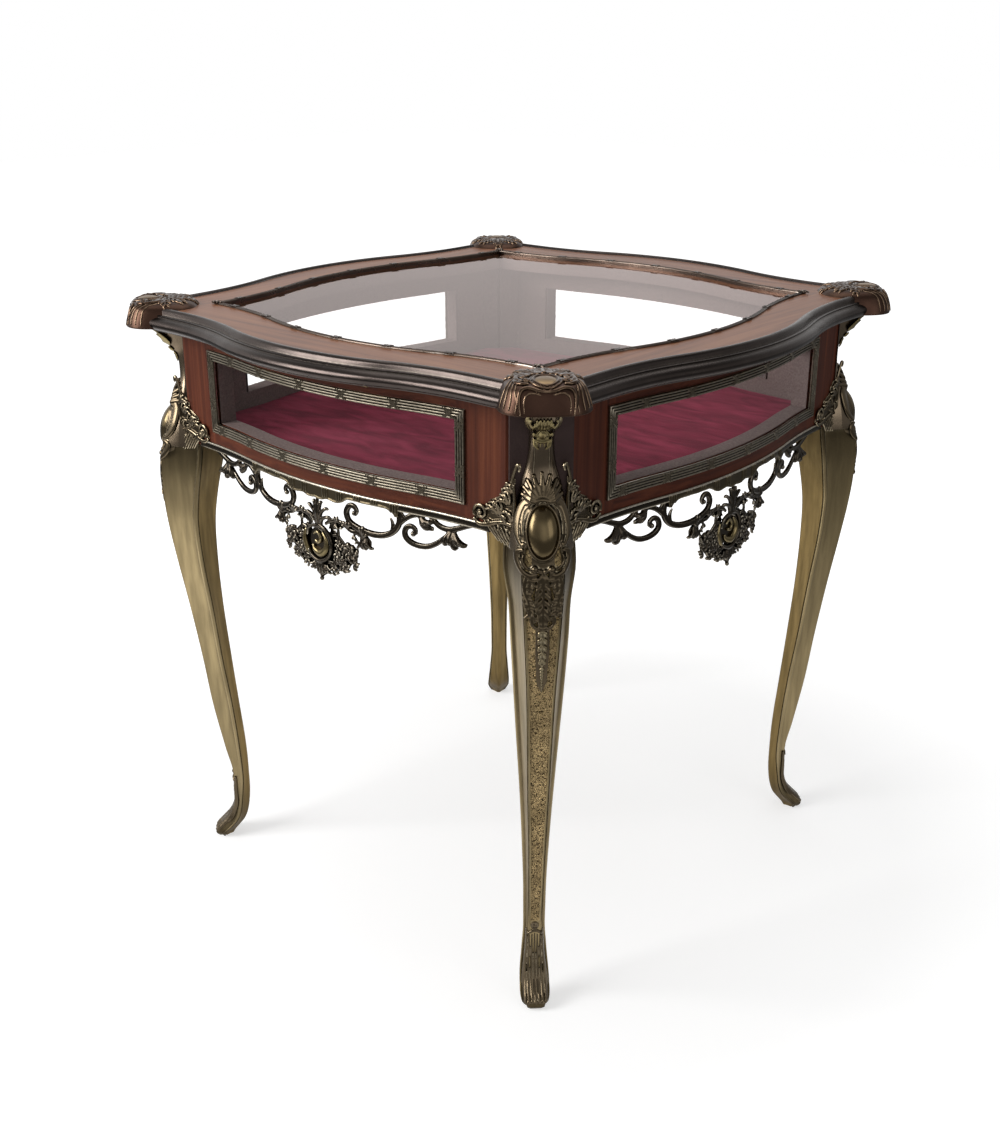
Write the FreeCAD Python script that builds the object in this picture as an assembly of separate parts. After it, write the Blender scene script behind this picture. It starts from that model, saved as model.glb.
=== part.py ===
import FreeCAD, Part
import math
import os

# A collectors display table: a square, bowed glass case on four cast cabriole legs,
# under a glazed lid that hinges at the back and locks at the front.
#
# Millimetres. +Z is up. The origin is on the floor under the middle of the table.
# The front (the lock side) faces -Y, the hinges are on the +Y side.
# Every side of the table is a bow: flat at its ends and swept out in its middle.

V = FreeCAD.Vector

# ---------------------------------------------------------------- driving dimensions

# A bow is (distance of its flat ends from the middle of the table, how far its middle
# stands out beyond them, half the length over which it sweeps out).
CASE_Y = (322.0, 27.0, 262.0)      # outer face of the case, front and back
CASE_X = (308.0, 27.0, 272.0)      # outer face of the case, left and right
TOP_Y = (331.0, 39.0, 240.0)       # wooden edge of the lid, front and back
TOP_X = (315.0, 39.0, 250.0)
SIGHT_Y = (268.0, 40.0, 258.0)     # edge of the lid's glazed opening, front and back
SIGHT_X = (258.0, 41.0, 268.0)

DIAGONAL = (1.0, 1.04)             # the way to a corner of the table, in plan

CASE_BOTTOM = 592.0
CASE_TOP = 732.0
SILL = 627.0                       # lower edge of the side glazing
HEAD = 705.0                       # upper edge of the side glazing
WALL = 22.0                        # thickness of the case's rails
GLAZED_HALF = {"y": 195.0, "x": 206.0}
CANT = 412.0                       # canted outer face of a corner post, from the middle
CANT_INNER = 388.0
TENON = (7.0, 15.0, 12.0)          # outer face, inner face and length of a rail's tenon

GLASS = 3.0                        # side glass
GLASS_BITE = 5.0                   # how far the glass reaches behind its frame
FRAME_WIDTH = 13.0                 # reeded bronze frame round the side glass
FRAME_PROUD = 4.0

LINING = 1.5
BASE_TOP = 602.0
BASE_THICKNESS = 9.0
PAD_TOP = 610.0
SIDE_PLAY = 0.4                    # gap round the loose base board and the pad

LID_BOTTOM = 733.0
LID_TOP = 757.0
LID_CANT = 440.0
GLASS_SEAT = 749.0                 # the wooden lip that carries the lid's glass
LIP = 6.0
LID_GLASS = 5.0
BEAD_TOP = 759.5

MOULDING_TOP = 760.0
TONGUE = (14.0, 737.0, 748.0)      # the wood inside the hollow bronze edge: out, z, z

HINGE_AXIS = (359.0, 732.5)        # y and z of the hinge pins
HINGE_X = 80.0
HINGE_WIDTH = 44.0
KNUCKLE = 3.4
KNUCKLE_GAP = 0.4
KNUCKLE_POCKET = 4.4
HINGE_PIN = 1.5
RUNNING = 0.06                     # radial clearance of a turning fit
LEAF = 1.6
LEAF_START = 329.0
SCREW_Y = 335.0
SCREW_SPACING = 14.0
SCREW = 1.6
SCREW_HEAD = 2.9
SCREW_LENGTH = 12.0

LOCK_X = 15.0                      # half width of the lock's case
LOCK_Y = (333.0, 343.0)            # distance of its two faces behind the table's middle
LOCK_BOTTOM = 707.0
KEY_Z = 716.0
KEY_SHANK = 2.0
KEY_HOLE = 2.6
KEY_BIT = 7.0
KEY_BIT_HALF = 1.5
KEY_OUT = 377.0
KEY_BOW = (7.5, 4.6, 1.3)          # outer radius, inner radius, half thickness
BOLT_HALF = 11.0
BOLT_NOTCH = 7.8
BOLT_NOTCH_TOP = 718.4
BOLT_FOOT = 712.5
BOLT_TOP = 731.4
BOLT_THROW = 5.8
BOLT_Y = (336.0, 340.0)
SLIDING = 0.3

BOLT_R = 3.0                       # bolts that hold the legs
BOLT_HEAD_R = 5.5
BOLT_HEAD = 4.0
LEG_BOLT_Z = (612.0, 662.0)

REACH = 520.0                      # anything longer than the table

# ---------------------------------------------------------------- helpers


def unit_diagonal():
    x, y = DIAGONAL
    size = math.hypot(x, y)
    return V(x / size, y / size, 0)


def box(x0, x1, y0, y1, z0, z1):
    return Part.makeBox(x1 - x0, y1 - y0, z1 - z0, V(x0, y0, z0))


def rod(radius, start, end):
    path = end - start
    return Part.makeCylinder(radius, path.Length, start, path)


def prism_xy(points, z0, z1):
    face = Part.Face(Part.makePolygon([V(x, y, z0) for x, y in points + points[:1]]))
    return face.extrude(V(0, 0, z1 - z0))


def bow_edges(bow, grow, z):
    """The bow from x = -REACH to x = +REACH, on the +Y side, moved out by grow."""
    edge, rise, half = bow
    low = edge + grow
    radius = (half ** 2 + rise ** 2) / (4 * rise)
    mid = half / 2
    turn = low + radius - math.sqrt(radius ** 2 - (half / 4) ** 2)

    def at(x, y):
        return V(x, y, z)

    def arc(a, b, c):
        return Part.Arc(at(*a), at(*b), at(*c)).toShape()

    return [
        Part.makeLine(at(-REACH, low), at(-half, low)),
        arc((-half, low), (-half * 0.75, turn), (-mid, low + rise / 2)),
        arc((-mid, low + rise / 2), (0, low + rise), (mid, low + rise / 2)),
        arc((mid, low + rise / 2), (half * 0.75, turn), (half, low)),
        Part.makeLine(at(half, low), at(REACH, low)),
    ]


def strip(edges, z0, z1):
    """Closes two rows of edges that run across the table and makes a slab of them."""
    ends = []
    for x in (REACH, -REACH):
        row = [v.Point for edge in edges for v in edge.Vertexes if abs(v.X - x) < 0.001]
        ends.append(Part.makeLine(min(row, key=lambda p: p.y), max(row, key=lambda p: p.y)))
    face = Part.Face(Part.Wire(Part.__sortEdges__(edges + ends)))
    return face.extrude(V(0, 0, z1 - z0))


def wall(bow, outer, inner, s0, s1, z0, z1):
    """A bowed wall on the +Y side between two offsets, from x = s0 to x = s1."""
    slab = strip(bow_edges(bow, outer, z0) + bow_edges(bow, inner, z0), z0, z1)
    return slab.common(box(s0, s1, 0, REACH, z0, z1))


def band(bow, grow, z0, z1):
    """Everything between the bow on the +Y side and its mirror image on the -Y side."""
    edges = bow_edges(bow, grow, z0)
    return strip(edges + [mirror_y(edge) for edge in edges], z0, z1)


def plan(bow_y, bow_x, grow, z0, z1):
    """The whole bowed square, moved out by grow."""
    across = band(bow_x, grow, z0, z1)
    across.rotate(V(0, 0, 0), V(0, 0, 1), 90)
    return band(bow_y, grow, z0, z1).common(across)


def mirror_x(shape):
    return shape.mirror(V(0, 0, 0), V(1, 0, 0))


def mirror_y(shape):
    return shape.mirror(V(0, 0, 0), V(0, 1, 0))


def beyond(distance, z0, z1):
    """What lies further out towards the +X +Y corner than the distance."""
    block = box(distance, REACH * 2, -REACH, REACH, z0, z1)
    block.rotate(V(0, 0, 0), V(0, 0, 1), math.degrees(math.atan2(DIAGONAL[1], DIAGONAL[0])))
    return block


def tongue_board():
    """The wooden tongue all round the lid that the bronze edge is fitted over."""
    out, z0, z1 = TONGUE
    return plan(TOP_Y, TOP_X, out, z0, z1)


def cant_corners(shape, distance):
    for corner in ("back_right", "back_left", "front_right", "front_left"):
        shape = shape.cut(to_corner(beyond(distance, 0, REACH * 2), corner))
    return shape


def to_side(shape, side):
    """Moves a shape made on the +Y side to another side of the table."""
    turn = {"back": 0, "front": 180, "left": 90, "right": -90}[side]
    shape = shape.copy()
    shape.rotate(V(0, 0, 0), V(0, 0, 1), turn)
    return shape


def to_corner(shape, corner):
    """Moves a shape made at the +X +Y corner to another corner of the table."""
    if corner.endswith("left"):
        shape = mirror_x(shape)
    if corner.startswith("front"):
        shape = mirror_y(shape)
    return shape


SIDES = ("front", "back", "left", "right")
CORNERS = ("front_left", "front_right", "back_left", "back_right")


def along(side):
    return "y" if side in ("front", "back") else "x"


def case_bow(side):
    return CASE_Y if along(side) == "y" else CASE_X


def top_bow(side):
    return TOP_Y if along(side) == "y" else TOP_X


# ---------------------------------------------------------------- the case


def glass_pane(side):
    half = GLAZED_HALF[along(side)] + GLASS_BITE
    return wall(case_bow(side), 0, -GLASS, -half, half, SILL - GLASS_BITE, HEAD + GLASS_BITE)


def rail(side, z0, z1):
    """A rail between two corner posts, with a tenon at each end and a seat for the glass."""
    half = GLAZED_HALF[along(side)]
    bow = case_bow(side)
    outer, inner, length = TENON
    body = wall(bow, 0, -WALL, -half, half, z0, z1)
    tongue = wall(bow, -outer, -inner, -half - length, half + length, z0 + 4, z1 - 4)
    return body.fuse(tongue).removeSplitter().cut(glass_pane(side))


def corner_post():
    """The post at the +X +Y corner: two wings that meet in a canted block."""
    z0, z1 = CASE_BOTTOM, CASE_TOP
    shell = plan(CASE_Y, CASE_X, 0, z0, z1)
    hollow = plan(CASE_Y, CASE_X, -WALL, z0, z1).cut(beyond(CANT_INNER, z0, z1))
    post = shell.cut(hollow).common(
        box(GLAZED_HALF["y"], REACH, GLAZED_HALF["x"], REACH, z0, z1))
    post = post.cut(beyond(CANT, z0, z1))
    for side in ("back", "right"):
        post = post.cut(to_side(glass_pane(side), side))
        for low, high in ((CASE_BOTTOM, SILL), (HEAD, CASE_TOP)):
            post = post.cut(to_side(rail(side, low, high), side))
    return post


def reed_frame(side):
    """The bronze frame that covers the joint of glass and wood."""
    half = GLAZED_HALF[along(side)]
    bow = case_bow(side)
    out = half + FRAME_WIDTH
    body = wall(bow, FRAME_PROUD, 0, -out, out, SILL - FRAME_WIDTH, HEAD + FRAME_WIDTH - 1)
    return body.cut(wall(bow, FRAME_PROUD + 1, -1, -half, half, SILL, HEAD))


def interior_lining():
    """Thin covered card round the inside of the case, open at the four windows."""
    z0, z1 = BASE_TOP, CASE_TOP - 0.5
    outer = plan(CASE_Y, CASE_X, -WALL, z0, z1)
    inner = plan(CASE_Y, CASE_X, -WALL - LINING, z0, z1)
    for corner in CORNERS:
        outer = outer.cut(to_corner(beyond(CANT_INNER, z0, z1), corner))
        inner = inner.cut(to_corner(beyond(CANT_INNER - LINING, z0, z1), corner))
    lining = outer.cut(inner)
    for side in SIDES:
        half = GLAZED_HALF[along(side)]
        window = box(-half, half, 0, REACH, SILL, HEAD)
        lining = lining.cut(to_side(window, side))
    return lining


# ---------------------------------------------------------------- the legs

# The leg's section at each height is a canted front panel, two sides that spread to a
# rib, and two back faces that meet in a narrow edge. Each station is the height, the
# distances of front, rib and back from the middle of the table, the width of the front
# panel and the width over the ribs.
LEG_STATIONS = (
    (0, 427, 414, 402, 20, 28),
    (14, 422, 402, 390, 24, 33),
    (34, 404, 391, 381, 22, 33),
    (60, 396, 386, 376.5, 19, 29),
    (95, 396, 383, 375.5, 16, 24),
    (140, 404, 385, 376.5, 17, 24),
    (210, 416, 390, 382, 19, 28),
    (280, 424, 397.5, 387.5, 23, 35),
    (360, 435, 404, 393, 27, 45),
    (430, 446, 411, 395, 31, 53.5),
    (480, 452.5, 413, 393.5, 36, 59),
    (520, 455, 409, 387, 40, 63),
    (560, 453.5, 402, 378, 44, 74),
    (CASE_BOTTOM, 448.5, 398, 374, 40, 70),
)
# Height, distance of the front, width of the front and of the back.
NECK_STATIONS = (
    (CASE_BOTTOM - 6, 449, 40, 66),
    (613, 443, 30, 48),
    (640, 432, 22, 36),
    (670, 423, 18, 30),
    (695, 425, 18, 29),
    (712, 435, 22, 32),
    (727, 448, 26, 40),
)
BACK_EDGE = 5.0
LEG_SHELL = 6.0
NECK_BACK = CANT - 6


def section(points, z):
    """A closed section from points (distance out, distance across), at the +X +Y corner."""
    out = unit_diagonal()
    across = V(-out.y, out.x, 0)
    corners = [out * r + across * t + V(0, 0, z) for r, t in points]
    return Part.makePolygon(corners + corners[:1])


def leg_shaft():
    rings = []
    for z, front, rib, back, panel, width in LEG_STATIONS:
        right = [(front, panel / 2), (rib, width / 2), (back, BACK_EDGE / 2)]
        left = [(r, -t) for r, t in reversed(right)]
        rings.append(section(right + left, z))
    return Part.makeLoft(rings, True, False)


def leg_core():
    """The hollow inside the cast shaft, open at its top under the case."""
    rings = []
    for z, front, rib, back, panel, width in LEG_STATIONS[4:]:
        right = [(front - LEG_SHELL, panel / 2 - 4), (rib, width / 2 - LEG_SHELL),
                 (back + LEG_SHELL, 1)]
        left = [(r, -t) for r, t in reversed(right)]
        rings.append(section(right + left, z))
    return Part.makeLoft(rings, True, False)


def leg_neck():
    rings = []
    for z, front, narrow, wide in NECK_STATIONS:
        middle = (front + NECK_BACK) / 2
        right = [(front, narrow / 2), (middle, wide / 2), (NECK_BACK, wide / 2)]
        left = [(r, -t) for r, t in reversed(right)]
        rings.append(section(right + left, z))
    return Part.makeLoft(rings, True, False)


# Outline of the leafy ear that the leg spreads over the case beside it: distance along
# the side from its middle, and height.
EAR = ((-48, 596), (-45, 614), (-36, 621), (-24, 618), (-17, 640), (-4, 672), (6, 684),
       (16, 676), (30, 640), (30, 590), (-20, 588))
EAR_PROUD = 6.0


def leg_ear(side):
    """One ear, on the +Y side, towards +X. Its outline is set off the end of the bow."""
    bow = case_bow(side)
    end = bow[2]
    face = Part.Face(Part.makePolygon([V(end + s, 0, z) for s, z in EAR + EAR[:1]]))
    flat = face.extrude(V(0, REACH, 0))
    return flat.common(wall(bow, EAR_PROUD, -1, 0, REACH, CASE_BOTTOM - 12, CASE_TOP))


def leg():
    ear_back = leg_ear("back")
    ear_right = to_side(mirror_x(leg_ear("right")), "right")
    body = leg_shaft().cut(leg_core()).fuse([leg_neck(), ear_back, ear_right])
    case = plan(CASE_Y, CASE_X, 0, CASE_BOTTOM, CASE_TOP).cut(
        beyond(CANT, CASE_BOTTOM, CASE_TOP))
    return body.cut(case)


def leg_bolt(z):
    out = unit_diagonal()
    lift = V(0, 0, z)
    head = out * CANT_INNER + lift
    tip = out * (CANT + 8) + lift
    return rod(BOLT_R, head, tip).fuse(rod(BOLT_HEAD_R, head, head + out * BOLT_HEAD))


# ---------------------------------------------------------------- the aprons

APRON = (-2.0, -7.0)               # its faces, from the outer face of the case
TRIM = (3.0, 0.0, 592.0, 598.0)    # the plain strip along the lower edge of the case
TRIM_GAP = 48.5                    # from its ends to the flat ends of the bow
APRON_BAND = (112.0, 579.0)        # half length and lower edge of the solid band

# The pendant's right half, from the band down to its tip.
PENDANT = ((46, 580), (52, 566), (62, 562), (76, 548), (80, 536), (68, 526), (66, 512),
           (52, 506), (44, 494), (26, 492), (16, 482), (0, 476))
PENDANT_HOLES = ((26, 571, 10), (46, 545, 9), (36, 520, 7), (12, 498, 5))

# Scrolls beside the pendant, each a ribbon along its points with a width.
SCROLLS = (
    (6.5, ((56, 578), (52, 566), (60, 557), (80, 554), (100, 560), (114, 573), (128, 586),
           (142, 590), (150, 584))),
    (7.0, ((128, 566), (124, 572), (121, 562), (130, 552), (142, 552), (158, 560),
           (176, 573), (198, 584), (224, 590))),
    (5.0, ((146, 592), (148, 580), (158, 577), (172, 580), (190, 588), (204, 593))),
    (15.0, ((190, 578), (186, 568), (183, 558))),
)


def ribbon(points, width):
    """A flat ribbon in the XZ plane along a smooth line through the points."""
    line = Part.BSplineCurve()
    line.interpolate([V(s, 0, z) for s, z in points])
    first, last = line.FirstParameter, line.LastParameter
    steps = 4 * len(points)
    sides = ([], [])
    for k in range(steps + 1):
        u = first + (last - first) * k / steps
        place = line.value(u)
        way = line.tangent(u)[0]
        normal = V(-way.z, 0, way.x) * (width / 2)
        sides[0].append(place + normal)
        sides[1].append(place - normal)
    loop = sides[0] + sides[1][::-1]
    face = Part.Face(Part.makePolygon(loop + loop[:1]))
    return face.extrude(V(0, REACH, 0))


def apron(side):
    """The pierced bronze apron below one side of the case, made on the +Y side."""
    bow = case_bow(side)
    stretch = bow[2] / CASE_Y[2]
    outer, inner = APRON

    left = [(-s, z) for s, z in PENDANT[:-1]]
    outline = [V(s, 0, z) for s, z in PENDANT + tuple(reversed(left))]
    shape = Part.Face(Part.makePolygon(outline + outline[:1])).extrude(V(0, REACH, 0))
    for s, z, radius in PENDANT_HOLES:
        for way in (-1, 1):
            shape = shape.cut(rod(radius, V(way * s, 0, z), V(way * s, REACH, z)))
    for width, points in SCROLLS:
        clear = PENDANT[0][0] * 2
        placed = ribbon([(s * stretch if s > clear else s, z) for s, z in points], width)
        shape = shape.fuse([placed, mirror_x(placed)])
    length, low = APRON_BAND
    shape = shape.fuse(box(-length * stretch, length * stretch, 0, REACH, low, CASE_BOTTOM + 1))
    shape = shape.common(wall(bow, outer, inner, -REACH, REACH, 0, CASE_BOTTOM))
    out, back, z0, z1 = TRIM
    end = bow[2] - TRIM_GAP
    strip = wall(bow, out, back, -end, end, z0, z1)
    ledge = wall(bow, out, inner, -end, end, z0 - 3, z0)
    return shape.fuse([strip, ledge]).removeSplitter()


# ---------------------------------------------------------------- the lid

# Half the plan of a corner cap: distance out, distance across.
CAP_PLAN = ((401, 34), (425, 46), (452, 49), (481, 37))
# Its outline seen from the side: distance out, height.
CAP_SIDE = ((436, 730), (458, 730), (461, 738), (474, 745), (481, 755), (474, 763),
            (445, 766), (412, 762), (401, 757), (401, 744), (436, 744))


def cap_zone(z0, z1):
    out = unit_diagonal()
    across = V(-out.y, out.x, 0)
    half = [out * r + across * t for r, t in CAP_PLAN]
    other = [out * r - across * t for r, t in reversed(CAP_PLAN)]
    ring = [point + V(0, 0, z0) for point in half + other]
    return Part.Face(Part.makePolygon(ring + ring[:1])).extrude(V(0, 0, z1 - z0))


def corner_cap():
    out = unit_diagonal()
    across = V(-out.y, out.x, 0)
    ring = [out * r - across * 60 + V(0, 0, z) for r, z in CAP_SIDE]
    block = Part.Face(Part.makePolygon(ring + ring[:1])).extrude(across * 120)
    cap = block.common(cap_zone(700, 800))
    return cap.cut(lid_board().cut(beyond(LID_CANT, LID_BOTTOM, LID_TOP)))


def lid_board():
    return plan(TOP_Y, TOP_X, 0, LID_BOTTOM, LID_TOP).fuse(tongue_board())


def lid_frame():
    """The lid's wooden frame in one piece, before it is parted at its mitres."""
    board = lid_board()
    board = board.cut(plan(SIGHT_Y, SIGHT_X, 0, GLASS_SEAT, LID_TOP))
    board = board.cut(plan(SIGHT_Y, SIGHT_X, -LIP, LID_BOTTOM, GLASS_SEAT))
    return cant_corners(board, LID_CANT)


def mitre_zone(side):
    """The quarter of the table that belongs to a side, between its two diagonals."""
    x, y = DIAGONAL
    if along(side) == "x":
        x, y = y, x
    quarter = [(0, 0), (x * REACH, y * REACH), (-x * REACH, y * REACH)]
    return to_side(prism_xy(quarter, 0, 900), side)


def moulding_profile(x):
    """The bronze edge in section, at the start of its path."""
    def at(out, z):
        return V(x, out, z)

    rows = (
        ((0, 733), (13, 733)),
        ((13, 733), (21, 735.5), (24, 742)),
        ((24, 742), (22, 748), (14, 750.5)),
        ((14, 750.5), (10.5, 752.5), (9, 756)),
        ((9, 756), (7, 759.3), (4.5, MOULDING_TOP)),
        ((4.5, MOULDING_TOP), (1.5, 759.2), (0, LID_TOP)),
        ((0, LID_TOP), (0, 733)),
    )
    edges = []
    for row in rows:
        points = [at(*p) for p in row]
        if len(points) == 2:
            edges.append(Part.makeLine(*points))
        else:
            edges.append(Part.Arc(*points).toShape())
    return Part.Wire(edges)


def edge_moulding(side):
    """The bronze edge of one side of the lid, made on the +Y side."""
    bow = top_bow(side)
    path = Part.Wire(bow_edges(bow, 0, 0))
    profile = moulding_profile(-REACH)
    profile.translate(V(0, bow[0], 0))
    bar = path.makePipeShell([profile], True, False)
    bar = bar.common(box(-bow[2] - 60, bow[2] + 60, 0, REACH, 700, 800))
    return bar


# ---------------------------------------------------------------- hinges


def hinge_centre(x):
    return V(x, HINGE_AXIS[0], HINGE_AXIS[1])


def knuckle(x0, x1, hole):
    return rod(KNUCKLE, hinge_centre(x0), hinge_centre(x1)).cut(
        rod(hole, hinge_centre(x0 - 1), hinge_centre(x1 + 1)))


def hinge_spans(x):
    """Where the three knuckles of one hinge lie: two on the case, one on the lid."""
    half = HINGE_WIDTH / 2
    third = HINGE_WIDTH / 6
    inner = third - KNUCKLE_GAP
    return ((x - half, x - third), (x - inner, x + inner), (x + third, x + half))


def hinge_leaf(x, on_lid):
    half = HINGE_WIDTH / 2
    z0 = LID_BOTTOM if on_lid else CASE_TOP - LEAF
    near = HINGE_AXIS[0] - KNUCKLE - KNUCKLE_GAP
    plate = box(x - half, x + half, LEAF_START, near, z0, z0 + LEAF)
    spans = hinge_spans(x)
    own = spans[1:2] if on_lid else (spans[0], spans[2])
    hole = HINGE_PIN + RUNNING if on_lid else HINGE_PIN
    leaf = plate
    for x0, x1 in own:
        tongue = box(x0, x1, near, HINGE_AXIS[0], z0, z0 + LEAF)
        leaf = leaf.fuse(tongue).fuse(rod(KNUCKLE, hinge_centre(x0), hinge_centre(x1)))
        leaf = leaf.cut(rod(hole, hinge_centre(x0 - 1), hinge_centre(x1 + 1)))
    for screw in hinge_screws(x, on_lid):
        leaf = leaf.cut(screw)
    return leaf


def hinge_screws(x, on_lid):
    """The screws of one leaf, with their heads flush in it."""
    face = LID_BOTTOM if on_lid else CASE_TOP
    way = V(0, 0, 1) if on_lid else V(0, 0, -1)
    screws = []
    for step in (-1, 0, 1):
        start = V(x + step * SCREW_SPACING, SCREW_Y, face)
        head = Part.makeCone(SCREW_HEAD, SCREW, LEAF, start, way)
        screws.append(head.fuse(rod(SCREW, start, start + way * SCREW_LENGTH)))
    return screws


def hinge_pocket(x):
    """Room for the knuckles under the lid's edge."""
    half = HINGE_WIDTH / 2 + 1
    return rod(KNUCKLE_POCKET, hinge_centre(x - half), hinge_centre(x + half))


# ---------------------------------------------------------------- lock


def keyhole():
    """A round hole with a slot below it, through the front of the table."""
    half = KEY_BIT_HALF + 0.3
    hole = rod(KEY_HOLE, V(0, -REACH, KEY_Z), V(0, 0, KEY_Z))
    return hole.fuse(box(-half, half, -REACH, 0, KEY_Z - KEY_BIT - 0.6, KEY_Z))


def lock_case():
    y0, y1 = LOCK_Y
    return box(-LOCK_X, LOCK_X, -y1, -y0, LOCK_BOTTOM, CASE_TOP)


def lock_body():
    y0, y1 = BOLT_Y
    room = box(-BOLT_HALF - SLIDING, BOLT_HALF + SLIDING, -y1 - SLIDING, -y0 + SLIDING,
               LOCK_BOTTOM + 1.2, CASE_TOP)
    front = box(-LOCK_X, LOCK_X, -REACH, -y0, 0, REACH * 2)
    return lock_case().cut(room).cut(keyhole().common(front))


def lock_bolt():
    y0, y1 = BOLT_Y
    body = box(-BOLT_HALF, BOLT_HALF, -y1, -y0, BOLT_FOOT, BOLT_TOP)
    return body.cut(box(-BOLT_NOTCH, BOLT_NOTCH, -y1, -y0, BOLT_FOOT, BOLT_NOTCH_TOP))


def key():
    outer, inner, half = KEY_BOW
    y0, y1 = BOLT_Y
    shank = rod(KEY_SHANK, V(0, -KEY_OUT, KEY_Z), V(0, -y0, KEY_Z))
    bit = box(-KEY_BIT_HALF, KEY_BIT_HALF, -y1, -y0, KEY_Z - KEY_BIT, KEY_Z)
    centre = V(0, -KEY_OUT - outer + 1, KEY_Z)
    side = V(half, 0, 0)
    bow = rod(outer, centre - side, centre + side).cut(rod(inner, centre - side, centre + side))
    collar = rod(KEY_SHANK + 1, V(0, -KEY_OUT, KEY_Z), V(0, -KEY_OUT + 3, KEY_Z))
    return shank.fuse([bit, bow, collar]).removeSplitter()


ESCUTCHEON = (7.0, 10.5, 1.5)      # half width, half height, how far it stands off the frame


def escutcheon_blank(grow, y0, y1):
    half, tall, _ = ESCUTCHEON
    centre = V(0, -y1, KEY_Z)
    oval = Part.Ellipse(centre + V(0, 0, tall + grow), centre + V(half + grow, 0, 0), centre)
    return Part.Face(Part.Wire(oval.toShape())).extrude(V(0, y1 - y0, 0))


def escutcheon():
    back = CASE_Y[0] + CASE_Y[1]
    plate = escutcheon_blank(0, back, back + FRAME_PROUD + ESCUTCHEON[2])
    return plate.cut(keyhole())


STRIKER = (15.0, 331.0, 345.0, 1.6)  # half width, near edge, far edge, thickness
BOLT_ROOM = 1.0


def bolt_mortise(z1):
    y0, y1 = BOLT_Y
    return box(-BOLT_HALF - BOLT_ROOM, BOLT_HALF + BOLT_ROOM, -y1 - BOLT_ROOM, -y0 + BOLT_ROOM,
               LID_BOTTOM, z1)


def striker_blank():
    half, y0, y1, thick = STRIKER
    return box(-half, half, -y1, -y0, LID_BOTTOM, LID_BOTTOM + thick)


# ---------------------------------------------------------------- the assembly


def case_parts():
    parts = {}
    before = box(-LOCK_X, LOCK_X, -REACH, -LOCK_Y[1], 0, REACH * 2)
    lock_seat = lock_case().fuse(keyhole().common(before))
    for side in SIDES:
        top = to_side(rail(side, HEAD, CASE_TOP), side)
        if side == "front":
            top = top.cut(lock_seat)
        if side == "back":
            for x in (-HINGE_X, HINGE_X):
                half = HINGE_WIDTH / 2
                top = top.cut(box(x - half, x + half, LEAF_START, REACH, CASE_TOP - LEAF, CASE_TOP))
                for screw in hinge_screws(x, False):
                    top = top.cut(screw)
        parts["top_rail_" + side] = top
        parts["bottom_rail_" + side] = to_side(rail(side, CASE_BOTTOM, SILL), side)
        parts["side_glass_" + side] = to_side(glass_pane(side), side)
        frame = to_side(reed_frame(side), side)
        if side == "front":
            back = CASE_Y[0] + CASE_Y[1]
            frame = frame.cut(escutcheon_blank(0.1, back - 2, back + FRAME_PROUD + 2))
        parts["reed_frame_" + side] = frame
        parts["apron_" + side] = to_side(apron(side), side)
    post = corner_post()
    bolts = [leg_bolt(z) for z in LEG_BOLT_Z]
    limb = leg()
    for bolt in bolts:
        post = post.cut(bolt)
        limb = limb.cut(bolt)
    fasteners = []
    for corner in CORNERS:
        parts["corner_post_" + corner] = to_corner(post, corner)
        parts["leg_" + corner] = to_corner(limb, corner)
        fasteners += [to_corner(bolt, corner) for bolt in bolts]
    parts["leg_bolts"] = Part.makeCompound(fasteners)
    parts["interior_lining"] = interior_lining()
    inside = -WALL - SIDE_PLAY
    board = plan(CASE_Y, CASE_X, inside, BASE_TOP - BASE_THICKNESS, BASE_TOP)
    parts["base_board"] = cant_corners(board, CANT_INNER - SIDE_PLAY)
    pad = plan(CASE_Y, CASE_X, inside - LINING, BASE_TOP, PAD_TOP)
    parts["velvet_pad"] = cant_corners(pad, CANT_INNER - LINING - SIDE_PLAY)
    return parts


def lid_parts():
    parts = {}
    frame = lid_frame()
    pockets = [hinge_pocket(x) for x in (-HINGE_X, HINGE_X)]
    for side in SIDES:
        wood = frame.common(mitre_zone(side))
        bronze = to_side(edge_moulding(side), side).cut(tongue_board())
        for corner in CORNERS:
            bronze = bronze.cut(to_corner(cap_zone(700, 800), corner))
        if side == "back":
            for x, pocket in zip((-HINGE_X, HINGE_X), pockets):
                half = HINGE_WIDTH / 2
                seat = box(x - half, x + half, LEAF_START, HINGE_AXIS[0],
                           LID_BOTTOM, LID_BOTTOM + LEAF)
                wood = wood.cut(pocket).cut(seat)
                bronze = bronze.cut(pocket)
                for screw in hinge_screws(x, True):
                    wood = wood.cut(screw)
        if side == "front":
            wood = wood.cut(striker_blank()).cut(bolt_mortise(BOLT_TOP + BOLT_THROW + BOLT_ROOM))
        parts["lid_rail_" + side] = wood
        parts["edge_moulding_" + side] = bronze
    cap = corner_cap()
    for corner in CORNERS:
        parts["corner_cap_" + corner] = to_corner(cap, corner)
    parts["lid_glass"] = plan(SIGHT_Y, SIGHT_X, -0.5, GLASS_SEAT, GLASS_SEAT + LID_GLASS)
    bead = plan(SIGHT_Y, SIGHT_X, 0, GLASS_SEAT + LID_GLASS, BEAD_TOP)
    parts["lid_glass_bead"] = bead.cut(plan(SIGHT_Y, SIGHT_X, -LIP, GLASS_SEAT, BEAD_TOP))
    parts["striker_plate"] = striker_blank().cut(bolt_mortise(LID_TOP))
    return parts


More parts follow.
